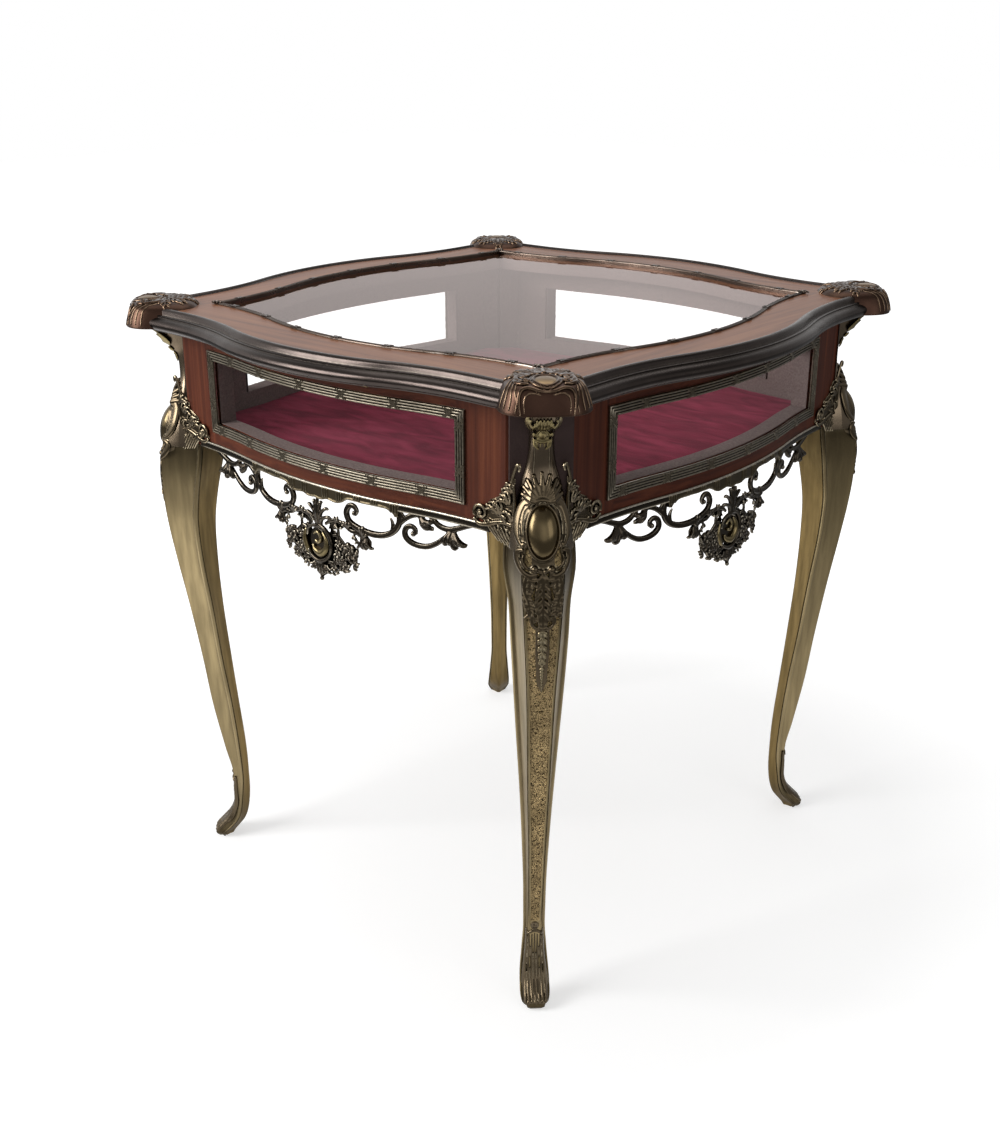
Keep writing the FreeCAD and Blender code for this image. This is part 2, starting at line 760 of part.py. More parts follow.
def hardware_parts():
    parts = {"lock_body": lock_body(), "lock_bolt": lock_bolt(), "key": key(),
             "escutcheon": escutcheon()}
    for word, x in (("left", -HINGE_X), ("right", HINGE_X)):
        parts["hinge_case_leaf_" + word] = hinge_leaf(x, False)
        parts["hinge_lid_leaf_" + word] = hinge_leaf(x, True)
        half = HINGE_WIDTH / 2
        parts["hinge_pin_" + word] = rod(HINGE_PIN, hinge_centre(x - half), hinge_centre(x + half))
    for word, on_lid in (("case", False), ("lid", True)):
        screws = hinge_screws(-HINGE_X, on_lid) + hinge_screws(HINGE_X, on_lid)
        parts["hinge_screws_" + word] = Part.makeCompound(screws)
    return parts


def main():
    os.makedirs("parts", exist_ok=True)
    parts = {**case_parts(), **lid_parts(), **hardware_parts()}
    for name, shape in parts.items():
        shape.exportStep("parts/" + name + ".step")
        size = shape.optimalBoundingBox()
        print("%-24s solids %d valid %s volume %9.0f" % (
            name, len(shape.Solids), shape.isValid(), shape.Volume), end="")
        print("  x %7.1f %7.1f  y %7.1f %7.1f  z %6.1f %6.1f" % (
            size.XMin, size.XMax, size.YMin, size.YMax, size.ZMin, size.ZMax))
    print(len(parts), "nodes")


main()
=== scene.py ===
import math

import bpy
import numpy as np
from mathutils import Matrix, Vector, noise


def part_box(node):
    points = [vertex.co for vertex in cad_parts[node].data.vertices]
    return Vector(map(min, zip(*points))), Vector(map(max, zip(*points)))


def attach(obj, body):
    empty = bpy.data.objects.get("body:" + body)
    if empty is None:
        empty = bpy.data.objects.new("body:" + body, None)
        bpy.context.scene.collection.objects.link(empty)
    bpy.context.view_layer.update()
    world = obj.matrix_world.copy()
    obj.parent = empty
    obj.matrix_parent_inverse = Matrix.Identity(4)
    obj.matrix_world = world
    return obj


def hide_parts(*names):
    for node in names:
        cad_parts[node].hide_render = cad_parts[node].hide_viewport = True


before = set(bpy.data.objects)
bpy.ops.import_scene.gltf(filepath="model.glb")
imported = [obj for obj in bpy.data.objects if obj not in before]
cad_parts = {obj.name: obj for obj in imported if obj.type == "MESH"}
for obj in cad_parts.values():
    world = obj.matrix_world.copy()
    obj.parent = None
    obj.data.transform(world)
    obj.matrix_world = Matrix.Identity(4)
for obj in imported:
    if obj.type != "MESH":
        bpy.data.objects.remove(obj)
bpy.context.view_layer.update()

# The looks of the collectors display table. Shapes are worked out in millimetres, in the
# table's own frame: the origin on the floor under its middle, the lock side at -Y and the
# hinge side at +Y. MM takes them into the scene's metres.
MM = 0.001
VOXEL = 0.8      # the finest detail of a casting

# ---------------------------------------------------------------- the plan of the table

# A bow is the distance of a side's flat ends from the middle, how far its middle stands
# out beyond them, and half the length over which it sweeps out.
CASE = {"y": (322.0, 27.0, 262.0), "x": (308.0, 27.0, 272.0)}
TOP = {"y": (331.0, 39.0, 240.0), "x": (315.0, 39.0, 250.0)}
SIGHT = {"y": (268.0, 40.0, 258.0), "x": (258.0, 41.0, 268.0)}
GLAZED_HALF = {"y": 195.0, "x": 206.0}
SIDES = ("front", "back", "left", "right")
CORNERS = ("front_left", "front_right", "back_left", "back_right")
OUTWARD = np.array([1.0, 1.04]) / math.hypot(1.0, 1.04)     # to the +X +Y corner
ACROSS = np.array([-OUTWARD[1], OUTWARD[0]])
SILL, HEAD = 627.0, 705.0                                   # of the side glazing
LID_TOP = 757.0


def along(side):
    return "y" if side in ("front", "back") else "x"


def bow(curve, s):
    """How far out a side stands at the distance s from its middle."""
    edge, rise, half = curve
    radius = (half ** 2 + rise ** 2) / (4 * rise)
    s = np.abs(np.asarray(s, float))
    middle = edge + rise - radius + np.sqrt(np.maximum(radius ** 2 - s ** 2, 0))
    ends = edge + radius - np.sqrt(radius ** 2 - np.clip(half - s, 0, half / 2) ** 2)
    return np.where(s < half / 2, middle, ends)


def on_bow(curve, s, out, z):
    """Points that stand out from a bowed side along its own normal."""
    s, out, z = np.broadcast_arrays(*(np.asarray(v, float) for v in (s, out, z)))
    slope = bow(curve, s + 0.5) - bow(curve, s - 0.5)
    size = np.sqrt(1 + slope ** 2)
    return np.stack([s - out * slope / size, bow(curve, s) + out / size, z], -1)


def to_side(points, side):
    """Turns points made on the +Y side to another side."""
    x, y, z = np.moveaxis(np.asarray(points, float), -1, 0)
    x, y = {"back": (x, y), "front": (-x, -y), "left": (-y, x), "right": (y, -x)}[side]
    return np.stack([x, y, z], -1)


def bend(points, curve, side, out=0.0):
    """Bends flat points, of (along, out, up), onto a bowed side."""
    s, y, z = np.moveaxis(np.asarray(points, float), -1, 0)
    return to_side(on_bow(curve, s, y + out, z), side)


def along_side(curve, side, reach, section, steps):
    """Carries a section, of (out, up), along a bowed side."""
    out, z = np.transpose(section)
    return np.array([to_side(on_bow(curve, s, out, z), side) for s in np.linspace(-reach, reach, steps)])


def corner_point(t, r, z):
    """From (across, out, up) at the +X +Y corner."""
    t, r, z = np.broadcast_arrays(*(np.asarray(v, float) for v in (t, r, z)))
    return np.stack([OUTWARD[0] * r + ACROSS[0] * t, OUTWARD[1] * r + ACROSS[1] * t, z], -1)


def to_corner(points, corner):
    """Mirrors points made at the +X +Y corner to another corner."""
    return np.asarray(points, float) * (-1 if "left" in corner else 1, -1 if "front" in corner else 1, 1)


def corner_flips(corner):
    return corner in ("back_left", "front_right")


def smooth(xs, ys, x):
    """A smooth curve through a few values, with no overshoot at its ends."""
    xs, ys, x = (np.asarray(v, float) for v in (xs, ys, x))
    steps = np.diff(ys) / np.diff(xs)
    slopes = np.concatenate([steps[:1], (steps[1:] + steps[:-1]) / 2, steps[-1:]])
    slopes[np.concatenate([[False], steps[1:] * steps[:-1] <= 0, [False]])] = 0
    k = np.clip(np.searchsorted(xs, x) - 1, 0, len(xs) - 2)
    h = xs[k + 1] - xs[k]
    u = np.clip((x - xs[k]) / h, 0, 1)
    a, b = 2 * u ** 3 - 3 * u ** 2 + 1, u ** 3 - 2 * u ** 2 + u
    c, d = -2 * u ** 3 + 3 * u ** 2, u ** 3 - u ** 2
    return a * ys[k] + b * h * slopes[k] + c * ys[k + 1] + d * h * slopes[k + 1]


# ---------------------------------------------------------------- meshes

looks = {}      # the materials by name


def make_piece(name, points, faces, finish, body, slot, flip=False, stands_for="", marks=None, crease=None):
    """A piece of the table from points in millimetres. finish names its materials, marks says
    which of them each face has, and edges that turn by more than crease degrees stay sharp."""
    mesh = bpy.data.meshes.new(name)
    points = np.asarray(points, float).reshape(-1, 3) * MM
    order = -1 if flip else 1
    mesh.from_pydata(points.tolist(), [], [tuple(int(i) for i in face)[::order] for face in faces])
    for look in finish.split():
        mesh.materials.append(looks[look])
    if marks is not None:
        mesh.polygons.foreach_set("material_index", np.asarray(marks, np.int32))
    mesh.shade_smooth()
    mesh.validate()
    if crease is not None:
        mesh.set_sharp_from_angle(angle=math.radians(crease))
    piece = bpy.data.objects.new(name, mesh)
    bpy.context.scene.collection.objects.link(piece)
    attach(piece, body)
    if stands_for:
        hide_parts(stands_for)
    return piece


def grid_faces(rows, columns, wrap_rows=False, wrap_columns=False):
    faces = []
    for i in range(rows if wrap_rows else rows - 1):
        for j in range(columns if wrap_columns else columns - 1):
            near, far = i * columns, ((i + 1) % rows) * columns
            after = (j + 1) % columns
            faces.append((near + j, near + after, far + after, far + j))
    return faces


def tube_faces(rows, columns, ends_inward=False):
    """The faces of a tube of rings that is closed at both ends. Where something covers its
    ends, they may look inward."""
    order = 1 if ends_inward else -1
    last = (rows - 1) * columns
    ends = [tuple(range(columns))[::order], tuple(range(last, last + columns))[::-order]]
    return grid_faces(rows, columns, wrap_columns=True) + ends


def loop_faces(rows):
    """The faces of rows of points that close on themselves both ways."""
    return grid_faces(len(rows), len(rows[0]), True, True)


def oval_outline(x, z, wide, tall, count):
    turns = [2 * math.pi * k / count for k in range(count)]
    return [(x + wide * math.cos(turn), z + tall * math.sin(turn)) for turn in turns]


def spline(points, steps):
    """A smooth line through points, as many samples as steps, with whatever rides on them."""
    points = np.asarray(points, float)
    if len(points) == 2:
        u = np.linspace(0, 1, steps)[:, None]
        return points[0] * (1 - u) + points[1] * u
    padded = np.vstack([2 * points[0] - points[1], points, 2 * points[-1] - points[-2]])
    u = np.linspace(0, len(points) - 1 - 1e-9, steps)
    k = u.astype(int)
    f = (u - k)[:, None]
    p0, p1, p2, p3 = (padded[k + n] for n in range(4))
    return 0.5 * (2 * p1 + (p2 - p0) * f + (2 * p0 - 5 * p1 + 4 * p2 - p3) * f ** 2
                  + (3 * p1 - p0 - 3 * p2 + p3) * f ** 3)


class Casting:
    """A casting drawn flat, before it is bent onto what carries it: x across it, y out of
    it, z up it. Its strokes, balls and plates are melted into one skin."""

    def __init__(self):
        self.points, self.faces, self.count = [], [], 0

    def add(self, points, faces):
        points = np.asarray(points, float).reshape(-1, 3)
        self.points.append(points)
        self.faces += [tuple(i + self.count for i in face) for face in faces]
        self.count += len(points)

    def parts(self):
        return np.vstack(self.points), self.faces

    def mirrored(self):
        """Adds the mirror image, so that a half drawn on the right becomes whole."""
        points, faces = self.parts()
        self.add(points * (-1, 1, 1), [face[::-1] for face in faces])

    def stroke(self, route, radii, depth=1.0, lift=0.0, sides=8, crest=0.0, groove=0.0):
        """A tapered ribbon along (x, z) points. depth is how round it is, lift how far out
        its middle stands, crest raises its middle further, and groove hollows its face."""
        steps = max(6, 4 * len(route))
        line = spline(route, steps)
        size = np.interp(np.linspace(0, 1, steps), np.linspace(0, 1, len(radii)), radii)
        rise = lift + crest * np.sin(np.linspace(0, math.pi, steps))
        way = np.gradient(line, axis=0)
        way /= np.linalg.norm(way, axis=1)[:, None] + 1e-9
        normal = np.stack([-way[:, 1], way[:, 0]], 1)
        sides = 14 if groove else sides
        points = []
        for k in range(steps):
            for n in range(sides):
                turn = 2 * math.pi * n / sides
                x, z = line[k] + normal[k] * size[k] * math.cos(turn)
                high = math.sin(turn) * (1 - groove * math.exp(-(math.cos(turn) / 0.35) ** 2))
                points.append((x, rise[k] + size[k] * depth * high, z))
        self.add(points, tube_faces(steps, sides))

    def pair(self, route, *shape, **more):
        """A stroke on the right and its mirror image."""
        for hand in (-1, 1):
            self.stroke([(hand * x, z) for x, z in route], *shape, **more)

    def ball(self, x, z, radius, lift=0.0, depth=1.0, tall=1.0):
        rows, columns = (7, 12) if radius < 6 else (18, 36)
        points = []
        for i in range(1, rows):
            polar = math.pi * i / rows
            for j in range(columns):
                turn = 2 * math.pi * j / columns
                points.append((x + radius * math.sin(polar) * math.cos(turn),
                               lift + radius * depth * math.cos(polar),
                               z + radius * tall * math.sin(polar) * math.sin(turn)))
        self.add(points, tube_faces(rows - 1, columns))

    def ring(self, x, z, wide, tall, radius, lift):
        steps, sides = 40, 8
        points = []
        for k in range(steps):
            turn = 2 * math.pi * k / steps
            for n in range(sides):
                roll = 2 * math.pi * n / sides
                points.append((x + (wide + radius * math.cos(roll)) * math.cos(turn),
                               lift + radius * math.sin(roll),
                               z + (tall + radius * math.cos(roll)) * math.sin(turn)))
        self.add(points, grid_faces(steps, sides, True, True))

    def plate(self, outline, y0, y1):
        n = len(outline)
        faces = [(k, (k + 1) % n, n + (k + 1) % n, n + k) for k in range(n)]
        faces += [tuple(range(n))[::-1], tuple(range(n, 2 * n))]
        self.add([(x, y, z) for y in (y0, y1) for x, z in outline], faces)

    def volute(self, x, z, radius, start, turns, thick, hand, lift):
        """A spiral that winds in to a small button. start is where it begins, in degrees."""
        route, sizes = [], []
        for u in np.linspace(0, 1, int(8 * turns) + 4):
            turn = math.radians(start) + hand * 2 * math.pi * turns * u
            reach = radius * (1 - 0.78 * u)
            route.append((x + reach * math.cos(turn), z + reach * math.sin(turn)))
            sizes.append(thick * (1 - 0.35 * u))
        self.stroke(route, sizes, 1, lift)
        self.ball(x, z, thick * 1.15, lift + thick * 0.3)

    def leaf(self, base, tip, width, lobes, sway, lift, depth, rib):
        """An acanthus leaf: a midrib with lobes that sweep forward on both sides."""
        base, tip = np.asarray(base, float), np.asarray(tip, float)
        way = tip - base
        length = np.linalg.norm(way)
        way /= length
        side = np.array([-way[1], way[0]])

        def spine(u):
            return base + way * length * u + side * sway * math.sin(math.pi * u)

        sizes = [rib * 1.2, rib * 1.5, rib * 1.3, rib, rib * 0.5]
        self.stroke([spine(u) for u in (0, 0.25, 0.5, 0.75, 1)], sizes, depth, lift + rib * 0.8)
        for k in range(lobes):
            u = (k + 0.35) / (lobes + 0.2)
            start = spine(u)
            spread = width * (0.55 + 0.45 * math.sin(math.pi * min(1, u * 1.25)))
            for hand in (-1, 1):
                end = start + way * length * 0.30 + side * hand * spread * (1 - 0.35 * u)
                middle = (start + end) / 2 + side * hand * spread * 0.22 - way * length * 0.02
                sizes = [rib * 1.5, rib * 1.9, rib * 0.9]
                self.stroke([start, middle, end], sizes, depth, lift, 8, rib * 0.5)

    def fan(self, base, reaches, angles, thick, lift, start, flare):
        """Ribs of a shell that spread from a point. angles are in degrees."""
        for reach, angle in zip(reaches, angles):
            way = np.array([math.cos(math.radians(angle)), math.sin(math.radians(angle))])
            route = [base + way * reach * share for share in (start, 0.65, 1)]
            self.stroke(route, [thick * 0.55, thick, thick * flare * 0.62], 1, lift, 8, thick * 0.5)
            self.ball(*route[-1], thick * flare * 0.72, lift)

    def sprig(self, x, z, reach, angles, thick, lift, sway=0.35):
        """Lobes of a leaf that curl out from a point, at angles in degrees."""
        for n, angle in enumerate(angles):
            route = []
            for share, curl in ((0.18, -1.2), (0.55, -0.8), (0.86, 0), (1.0, 0.6)):
                turn = math.radians(angle) + sway * curl
                far = share * reach * (1.0 if n % 2 == 0 else 0.84)
                route.append((x + far * math.cos(turn), z + far * math.sin(turn)))
            sizes = [thick * 0.5, thick * 0.95, thick * 1.15, thick * 0.8]
            self.stroke(route, sizes, 1.25, lift, 8, thick * 0.7)

    def flower(self, x, z, radius, lift, petals):
        """A small rosette of curled leaves."""
        self.sprig(x, z, radius, [360 * k / petals + 12 for k in range(petals)], radius * 0.17, lift, 0.55)
        self.ball(x, z, radius * 0.22, lift + 1.8)

    def skin(self, smoothing=2):
        """Melts the parts into one closed skin, and gives its points and faces."""
        mesh = bpy.data.meshes.new("casting")
        points, faces = self.parts()
        mesh.from_pydata(points.tolist(), [], faces)
        mould = bpy.data.objects.new("casting", mesh)
        bpy.context.scene.collection.objects.link(mould)
        remesh = mould.modifiers.new("melt", "REMESH")
        remesh.mode = "VOXEL"
        remesh.voxel_size = VOXEL
        ease = mould.modifiers.new("ease", "SMOOTH")
        ease.factor = 0.5
        ease.iterations = smoothing
        made = bpy.data.meshes.new_from_object(mould.evaluated_get(bpy.context.evaluated_depsgraph_get()))
        points = np.empty(len(made.vertices) * 3)
        made.vertices.foreach_get("co", points)
        faces = [tuple(face.vertices) for face in made.polygons]
        bpy.data.objects.remove(mould)
        bpy.data.meshes.remove(made)
        bpy.data.meshes.remove(mesh)
        return points.reshape(-1, 3), faces


# ---------------------------------------------------------------- materials

class Tree:
    """The nodes of one material, or of the world."""

    def __init__(self, name, world=False):
        self.name = name
        self.material = (bpy.data.worlds if world else bpy.data.materials).new(name)
        self.material.use_nodes = True
        self.nodes = self.material.node_tree.nodes
        self.nodes.clear()
        self.output = self.add("OutputWorld" if world else "OutputMaterial")

    def add(self, kind, inputs=None, **settings):
        """A node. Its inputs take numbers, colours or the sockets of other nodes."""
        node = self.nodes.new("ShaderNode" + kind)
        for key, value in settings.items():
            setattr(node, key, value)
        for key, value in (inputs or {}).items():
            socket = node.inputs[key]
            if isinstance(value, bpy.types.NodeSocket):
                self.material.node_tree.links.new(value, socket)
            else:
                socket.default_value = (*value, 1) if socket.type == "RGBA" else value
        return node

    def show(self, node):
        """Makes a shader the surface, and keeps the material under its name."""
        self.material.node_tree.links.new(node.outputs[0], self.output.inputs["Surface"])
        looks[self.name] = self.material

    def place(self, scale=(1, 1, 1)):
        """Coordinates of the table itself, stretched by scale."""
        table = self.add("TexCoord").outputs["Object"]
        return self.add("Mapping", {"Vector": table, "Scale": scale}).outputs["Vector"]

    def noise(self, vector, scale, detail=4.0, rough=0.55, distortion=0.0):
        inputs = {"Vector": vector, "Scale": scale, "Detail": detail, "Roughness": rough}
        return self.add("TexNoise", {**inputs, "Distortion": distortion}).outputs["Fac"]

    def ramp(self, fac, stops):
        node = self.add("ValToRGB", {"Fac": fac})
        first, last = node.color_ramp.elements
        (first.position, low), (last.position, high) = stops[0], stops[-1]
        first.color, last.color = (*low, 1), (*high, 1)
        for place, colour in stops[1:-1]:
            node.color_ramp.elements.new(place).color = (*colour, 1)
        return node.outputs["Color"]

    def level(self, fac, low, high, at_low=0.0, at_high=1.0):
        """Maps low..high to at_low..at_high and stays within them."""
        inputs = {"Value": fac, "From Min": low, "From Max": high, "To Min": at_low, "To Max": at_high}
        return self.add("MapRange", inputs).outputs["Result"]

    def math(self, operation, a, b):
        return self.add("Math", {0: a, 1: b}, operation=operation).outputs["Value"]

    def times(self, a, b):
        return self.math("MULTIPLY", a, b)

    def toward(self, vector, x, y):
        """How far a vector goes along the direction (x, y)."""
        parts = self.add("SeparateXYZ", {"Vector": vector}).outputs
        return self.math("ADD", self.times(parts["X"], x), self.times(parts["Y"], y))

    def mix(self, fac, a, b):
        return self.add("Mix", {0: fac, 6: a, 7: b}, data_type="RGBA").outputs[2]

    def bump(self, height, strength, distance):
        inputs = {"Height": height, "Strength": strength, "Distance": distance}
        return self.add("Bump", inputs).outputs["Normal"]

    def principled(self, colour, rough, normal, more):
        inputs = {"Base Color": colour, "Roughness": rough, "Normal": normal, **more}
        self.show(self.add("BsdfPrincipled", inputs))


# Heights between which painted shade dims a leg's brass: toward the floor below the foot, and above the
# knee.
FOOT_HEIGHTS = (0.0, 0.085)         # in metres, where the brass of a leg goes bright
KNEE_HEIGHTS = (0.485, 0.575)       # and dull again
PIT_SCALE, WORM_SCALE = 760.0, 520.0


def metal(name, dark, body, bright, rough, recess, wear_and_glint, worn_and_glinting=(0.505, 0.56), cavity=(0.30, 0.92),
          grain=0.25, patina=0.75, along=(1, 1, 1), knee=1.0, pit=0.0):
    """Cast and patinated metal, with painted shade in its recesses, partly its patina, and painted
    highlights on its high points, partly polished by handling. recess is how far its hollows are felt, in
    metres. worn and cavity are the ranges of pointiness and of openness over which the painted highlight
    comes in and the painted shade lifts, wear how strong that highlight and polish are, patina how little
    its clouds darken it, along their stretch, knee how much painted shade dims it above its knee and toward
    the floor below its foot, and pit its stipple."""
    tree = Tree(name)
    # painted shade: ambient occlusion darkens the hollows toward the dark colour, partly standing for
    # patina there
    hollow = tree.add("AmbientOcclusion", {"Distance": recess}, samples=6, only_local=True)
    fine = tree.noise(tree.place(), 260.0, 5.0, 0.6)
    broad = tree.noise(tree.place(along), 38.0, 3.0, 0.5)
    # painted highlight: high points found by pointiness go to the bright colour, partly as polish from
    # handling
    ridge = tree.level(tree.add("NewGeometry").outputs["Pointiness"], *worn_and_glinting)
    rubbed_and_highlit = tree.times(tree.level(fine, 0.35, 0.65, 0.4, 1.0), tree.times(ridge, wear_and_glint))
    open_to_light = tree.level(hollow.outputs["AO"], *cavity)
    lit_and_clean = tree.times(open_to_light, tree.level(broad, 0.35, 0.65, patina, 1.0))
    # painted shade: the leg dims above its knee and toward the floor below its foot
    if knee < 1:
        height = tree.add("SeparateXYZ", {"Vector": tree.place()}).outputs["Z"]
        lit_and_clean = tree.times(lit_and_clean, tree.level(height, *KNEE_HEIGHTS, 1.0, knee))
        lit_and_clean = tree.times(lit_and_clean, tree.level(height, *FOOT_HEIGHTS, knee, 1.0))
    colour = tree.mix(rubbed_and_highlit, tree.mix(lit_and_clean, dark, body), bright)
    gloss = tree.level(lit_and_clean, 0.0, 1.0, rough + 0.25, rough)
    normal = tree.bump(tree.noise(tree.place(), 700.0, 3.0), grain, 0.0004)
    if pit:
        cells = tree.add("TexVoronoi", {"Scale": PIT_SCALE, "Vector": tree.place()})
        worms = tree.level(tree.noise(tree.place(), WORM_SCALE, 2.0, 0.5, 1.5), 0.42, 0.54)
        dents = tree.math("MINIMUM", tree.level(cells.outputs["Distance"], 0.12, 0.5), worms)
        normal = tree.bump(dents, pit, 0.0010)
        colour = tree.mix(tree.level(dents, 0.0, 0.6), dark, colour)
    tree.principled(colour, gloss, normal, {"Metallic": 1.0})


def timber(name, grain, dark, middle, light, rough, coat, specular):
    """Polished wood with its grain along one direction: grain is how fast each axis changes."""
    tree = Tree(name)
    streaks = tree.noise(tree.place(grain), 1.0, 6.0, 0.62, 0.6)
    pores = tree.noise(tree.place(tuple(5 * g for g in grain)), 1.0, 3.0, 0.7)
    cloud = tree.noise(tree.place(), 9.0, 2.0)
    colour = tree.ramp(streaks, ((0.30, dark), (0.5, middle), (0.70, light)))
    colour = tree.mix(tree.level(pores, 0.56, 0.75, 0.0, 0.35), colour, dark)
    colour = tree.mix(tree.level(cloud, 0.35, 0.7, 0.0, 0.3), colour, dark)
    polish = {"Coat Weight": coat, "Coat Roughness": 0.12, "Specular IOR Level": specular}
    tree.principled(colour, rough, tree.bump(pores, 0.08, 0.0002), polish)


def pane(name, ior, mirror, share):
    """Clear flat glass that lets light through to what is under it, and mirrors from outside."""
    tree = Tree(name)
    clear = tree.add("BsdfTransparent", {"Color": (1, 1, 1)})
    waves = tree.bump(tree.noise(tree.place(), 14.0, 1.0), 0.02, 0.002)
    shine = tree.add("BsdfGlossy", {"Roughness": 0.02, "Color": mirror, "Normal": waves})
    fresnel = tree.add("Fresnel", {"IOR": ior}).outputs["Fac"]
    shadow = tree.add("LightPath").outputs["Is Shadow Ray"]
    unseen = tree.math("MAXIMUM", shadow, tree.add("NewGeometry").outputs["Backfacing"])
    strength = tree.times(tree.level(fresnel, 0.0, 1.0, 0.0, share), tree.math("SUBTRACT", 1.0, unseen))
    tree.show(tree.add("MixShader", {"Fac": strength, 1: clear.outputs[0], 2: shine.outputs[0]}))


def velvet(name):
    """A crushed pile with a soft sheen."""
    tree = Tree(name)
    crush = tree.noise(tree.place((0.6, 1.9, 1)), 24.0, 3.0, 0.5, 1.0)
    brush = tree.noise(tree.place((0.35, 1.8, 1)), 70.0, 2.0, 0.5, 0.6)
    stops = ((0.34, (0.080, 0.006, 0.015)), (0.5, (0.142, 0.012, 0.028)), (0.66, (0.20, 0.021, 0.045)))
    brushed = tree.level(brush, 0.40, 0.62, 0.0, 0.20)
    colour = tree.mix(brushed, tree.ramp(crush, stops), (0.07, 0.005, 0.014))
    nap = {"Sheen Weight": 0.22, "Sheen Roughness": 0.5, "Sheen Tint": (0.9, 0.35, 0.45)}
    tree.principled(colour, 0.9, tree.bump(crush, 0.12, 0.002), {**nap, "Specular IOR Level": 0.08})


def cloth(name, dark, light):
    """A plain woven cloth."""
    tree = Tree(name)
    weave = tree.noise(tree.place(), 420.0, 3.0, 0.6)
    cloud = tree.noise(tree.place(), 12.0, 2.0)
    colour = tree.ramp(weave, ((0.3, dark), (0.7, light)))
    colour = tree.mix(tree.level(cloud, 0.3, 0.7, 0.0, 0.4), colour, dark)
    tree.principled(colour, 0.8, tree.bump(weave, 0.2, 0.0005), {"Specular IOR Level": 0.2})


REDDISH = ((0.048, 0.012, 0.006), (0.098, 0.024, 0.011), (0.150, 0.042, 0.018))
VENEER = ((0.124, 0.045, 0.021), (0.212, 0.083, 0.037), (0.274, 0.117, 0.056))
BIRCH = ((0.25, 0.16, 0.09), (0.38, 0.27, 0.17), (0.46, 0.34, 0.22))
timber("mahogany_upright", (150, 150, 3), *REDDISH, 0.45, 0.03, 0.15)
timber("mahogany_along_x", (3, 150, 150), *REDDISH, 0.45, 0.03, 0.15)
timber("mahogany_along_y", (150, 3, 150), *REDDISH, 0.45, 0.03, 0.15)
timber("veneer_along_x", (4, 95, 95), *VENEER, 0.42, 0.08, 0.25)
timber("veneer_along_y", (95, 4, 95), *VENEER, 0.42, 0.08, 0.25)
timber("plywood", (4, 60, 60), *BIRCH, 0.7, 0.0, 0.25)

# The dark, body and bright colours of each metal, its roughness, recess and the strength of its polish and
# painted highlight. The dark colour comes in as painted shade in the hollows, partly patina.
CRISP = {"cavity": (0.50, 0.97), "grain": 0.05}
DRAWN = {"grain": 0.12, "along": (3.5, 3.5, 0.35)}
metal("leg_brass", (0.022, 0.016, 0.009), (0.400, 0.310, 0.165), (0.68, 0.58, 0.38), 0.28, 0.006, 0.4,
      patina=0.72, knee=0.15, **DRAWN)
metal("leg_inner", (0.022, 0.015, 0.007), (0.280, 0.196, 0.080), (0.58, 0.46, 0.24), 0.30, 0.006, 0.4,
      patina=0.66, knee=0.45, **DRAWN)
metal("leg_field", (0.030, 0.020, 0.009), (0.60, 0.435, 0.215), (0.66, 0.54, 0.32), 0.34, 0.004, 0.3,
      patina=0.6, pit=0.7)
metal("leg_ornament", (0.004, 0.003, 0.002), (0.146, 0.112, 0.070), (0.92, 0.78, 0.54), 0.16, 0.007, 1.0,
      worn_and_glinting=(0.519, 0.575), **CRISP)
metal("neck_bronze", (0.006, 0.005, 0.004), (0.200, 0.154, 0.106), (0.80, 0.66, 0.46), 0.24, 0.007, 0.8,
      worn_and_glinting=(0.519, 0.575), **CRISP)
metal("apron_bronze", (0.003, 0.0025, 0.002), (0.062, 0.050, 0.037), (0.88, 0.79, 0.62), 0.15, 0.007, 1.0,
      worn_and_glinting=(0.522, 0.578), **CRISP)
metal("dark_bronze", (0.008, 0.005, 0.005), (0.064, 0.034, 0.024), (0.34, 0.24, 0.16), 0.34, 0.006, 0.35)
metal("cap_gilt", (0.003, 0.0025, 0.002), (0.078, 0.047, 0.031), (0.62, 0.43, 0.28), 0.18, 0.006, 0.8,
      worn_and_glinting=(0.522, 0.578), **CRISP)
metal("head_gilt", (0.005, 0.004, 0.002), (0.300, 0.240, 0.115), (0.95, 0.84, 0.52), 0.24, 0.006, 0.9,
      worn_and_glinting=(0.518, 0.575), cavity=(0.45, 0.97), grain=0.06)
metal("boss_gilt", (0.006, 0.005, 0.003), (0.230, 0.180, 0.090), (0.80, 0.68, 0.42), 0.22, 0.005, 0.7,
      worn_and_glinting=(0.515, 0.575), grain=0.08)
metal("husk_gilt", (0.006, 0.005, 0.003), (0.300, 0.245, 0.150), (0.95, 0.86, 0.64), 0.22, 0.005, 1.0,
      worn_and_glinting=(0.515, 0.57), **CRISP)
metal("knee_gilt", (0.006, 0.005, 0.003), (0.170, 0.128, 0.068), (0.80, 0.66, 0.42), 0.18, 0.005, 0.7,
      worn_and_glinting=(0.515, 0.575), grain=0.06)
metal("field_gilt", (0.010, 0.006, 0.003), (0.240, 0.160, 0.085), (0.7, 0.5, 0.3), 0.30, 0.004, 0.5)
metal("band_bronze", (0.004, 0.003, 0.002), (0.105, 0.083, 0.050), (0.62, 0.54, 0.38), 0.28, 0.005, 0.7,
      worn_and_glinting=(0.520, 0.575), cavity=(0.45, 0.97), grain=0.1)
metal("edge_bronze", (0.007, 0.006, 0.006), (0.070, 0.056, 0.050), (0.30, 0.26, 0.22), 0.22, 0.004, 0.3)
metal("pale_bronze", (0.007, 0.006, 0.004), (0.118, 0.098, 0.070), (0.54, 0.48, 0.38), 0.30, 0.0035, 0.6,
      worn_and_glinting=(0.510, 0.57), cavity=(0.40, 0.95))
metal("ribbon_bronze", (0.010, 0.008, 0.006), (0.200, 0.168, 0.122), (0.80, 0.73, 0.58), 0.24, 0.003, 0.8,
      worn_and_glinting=(0.512, 0.57), grain=0.1)
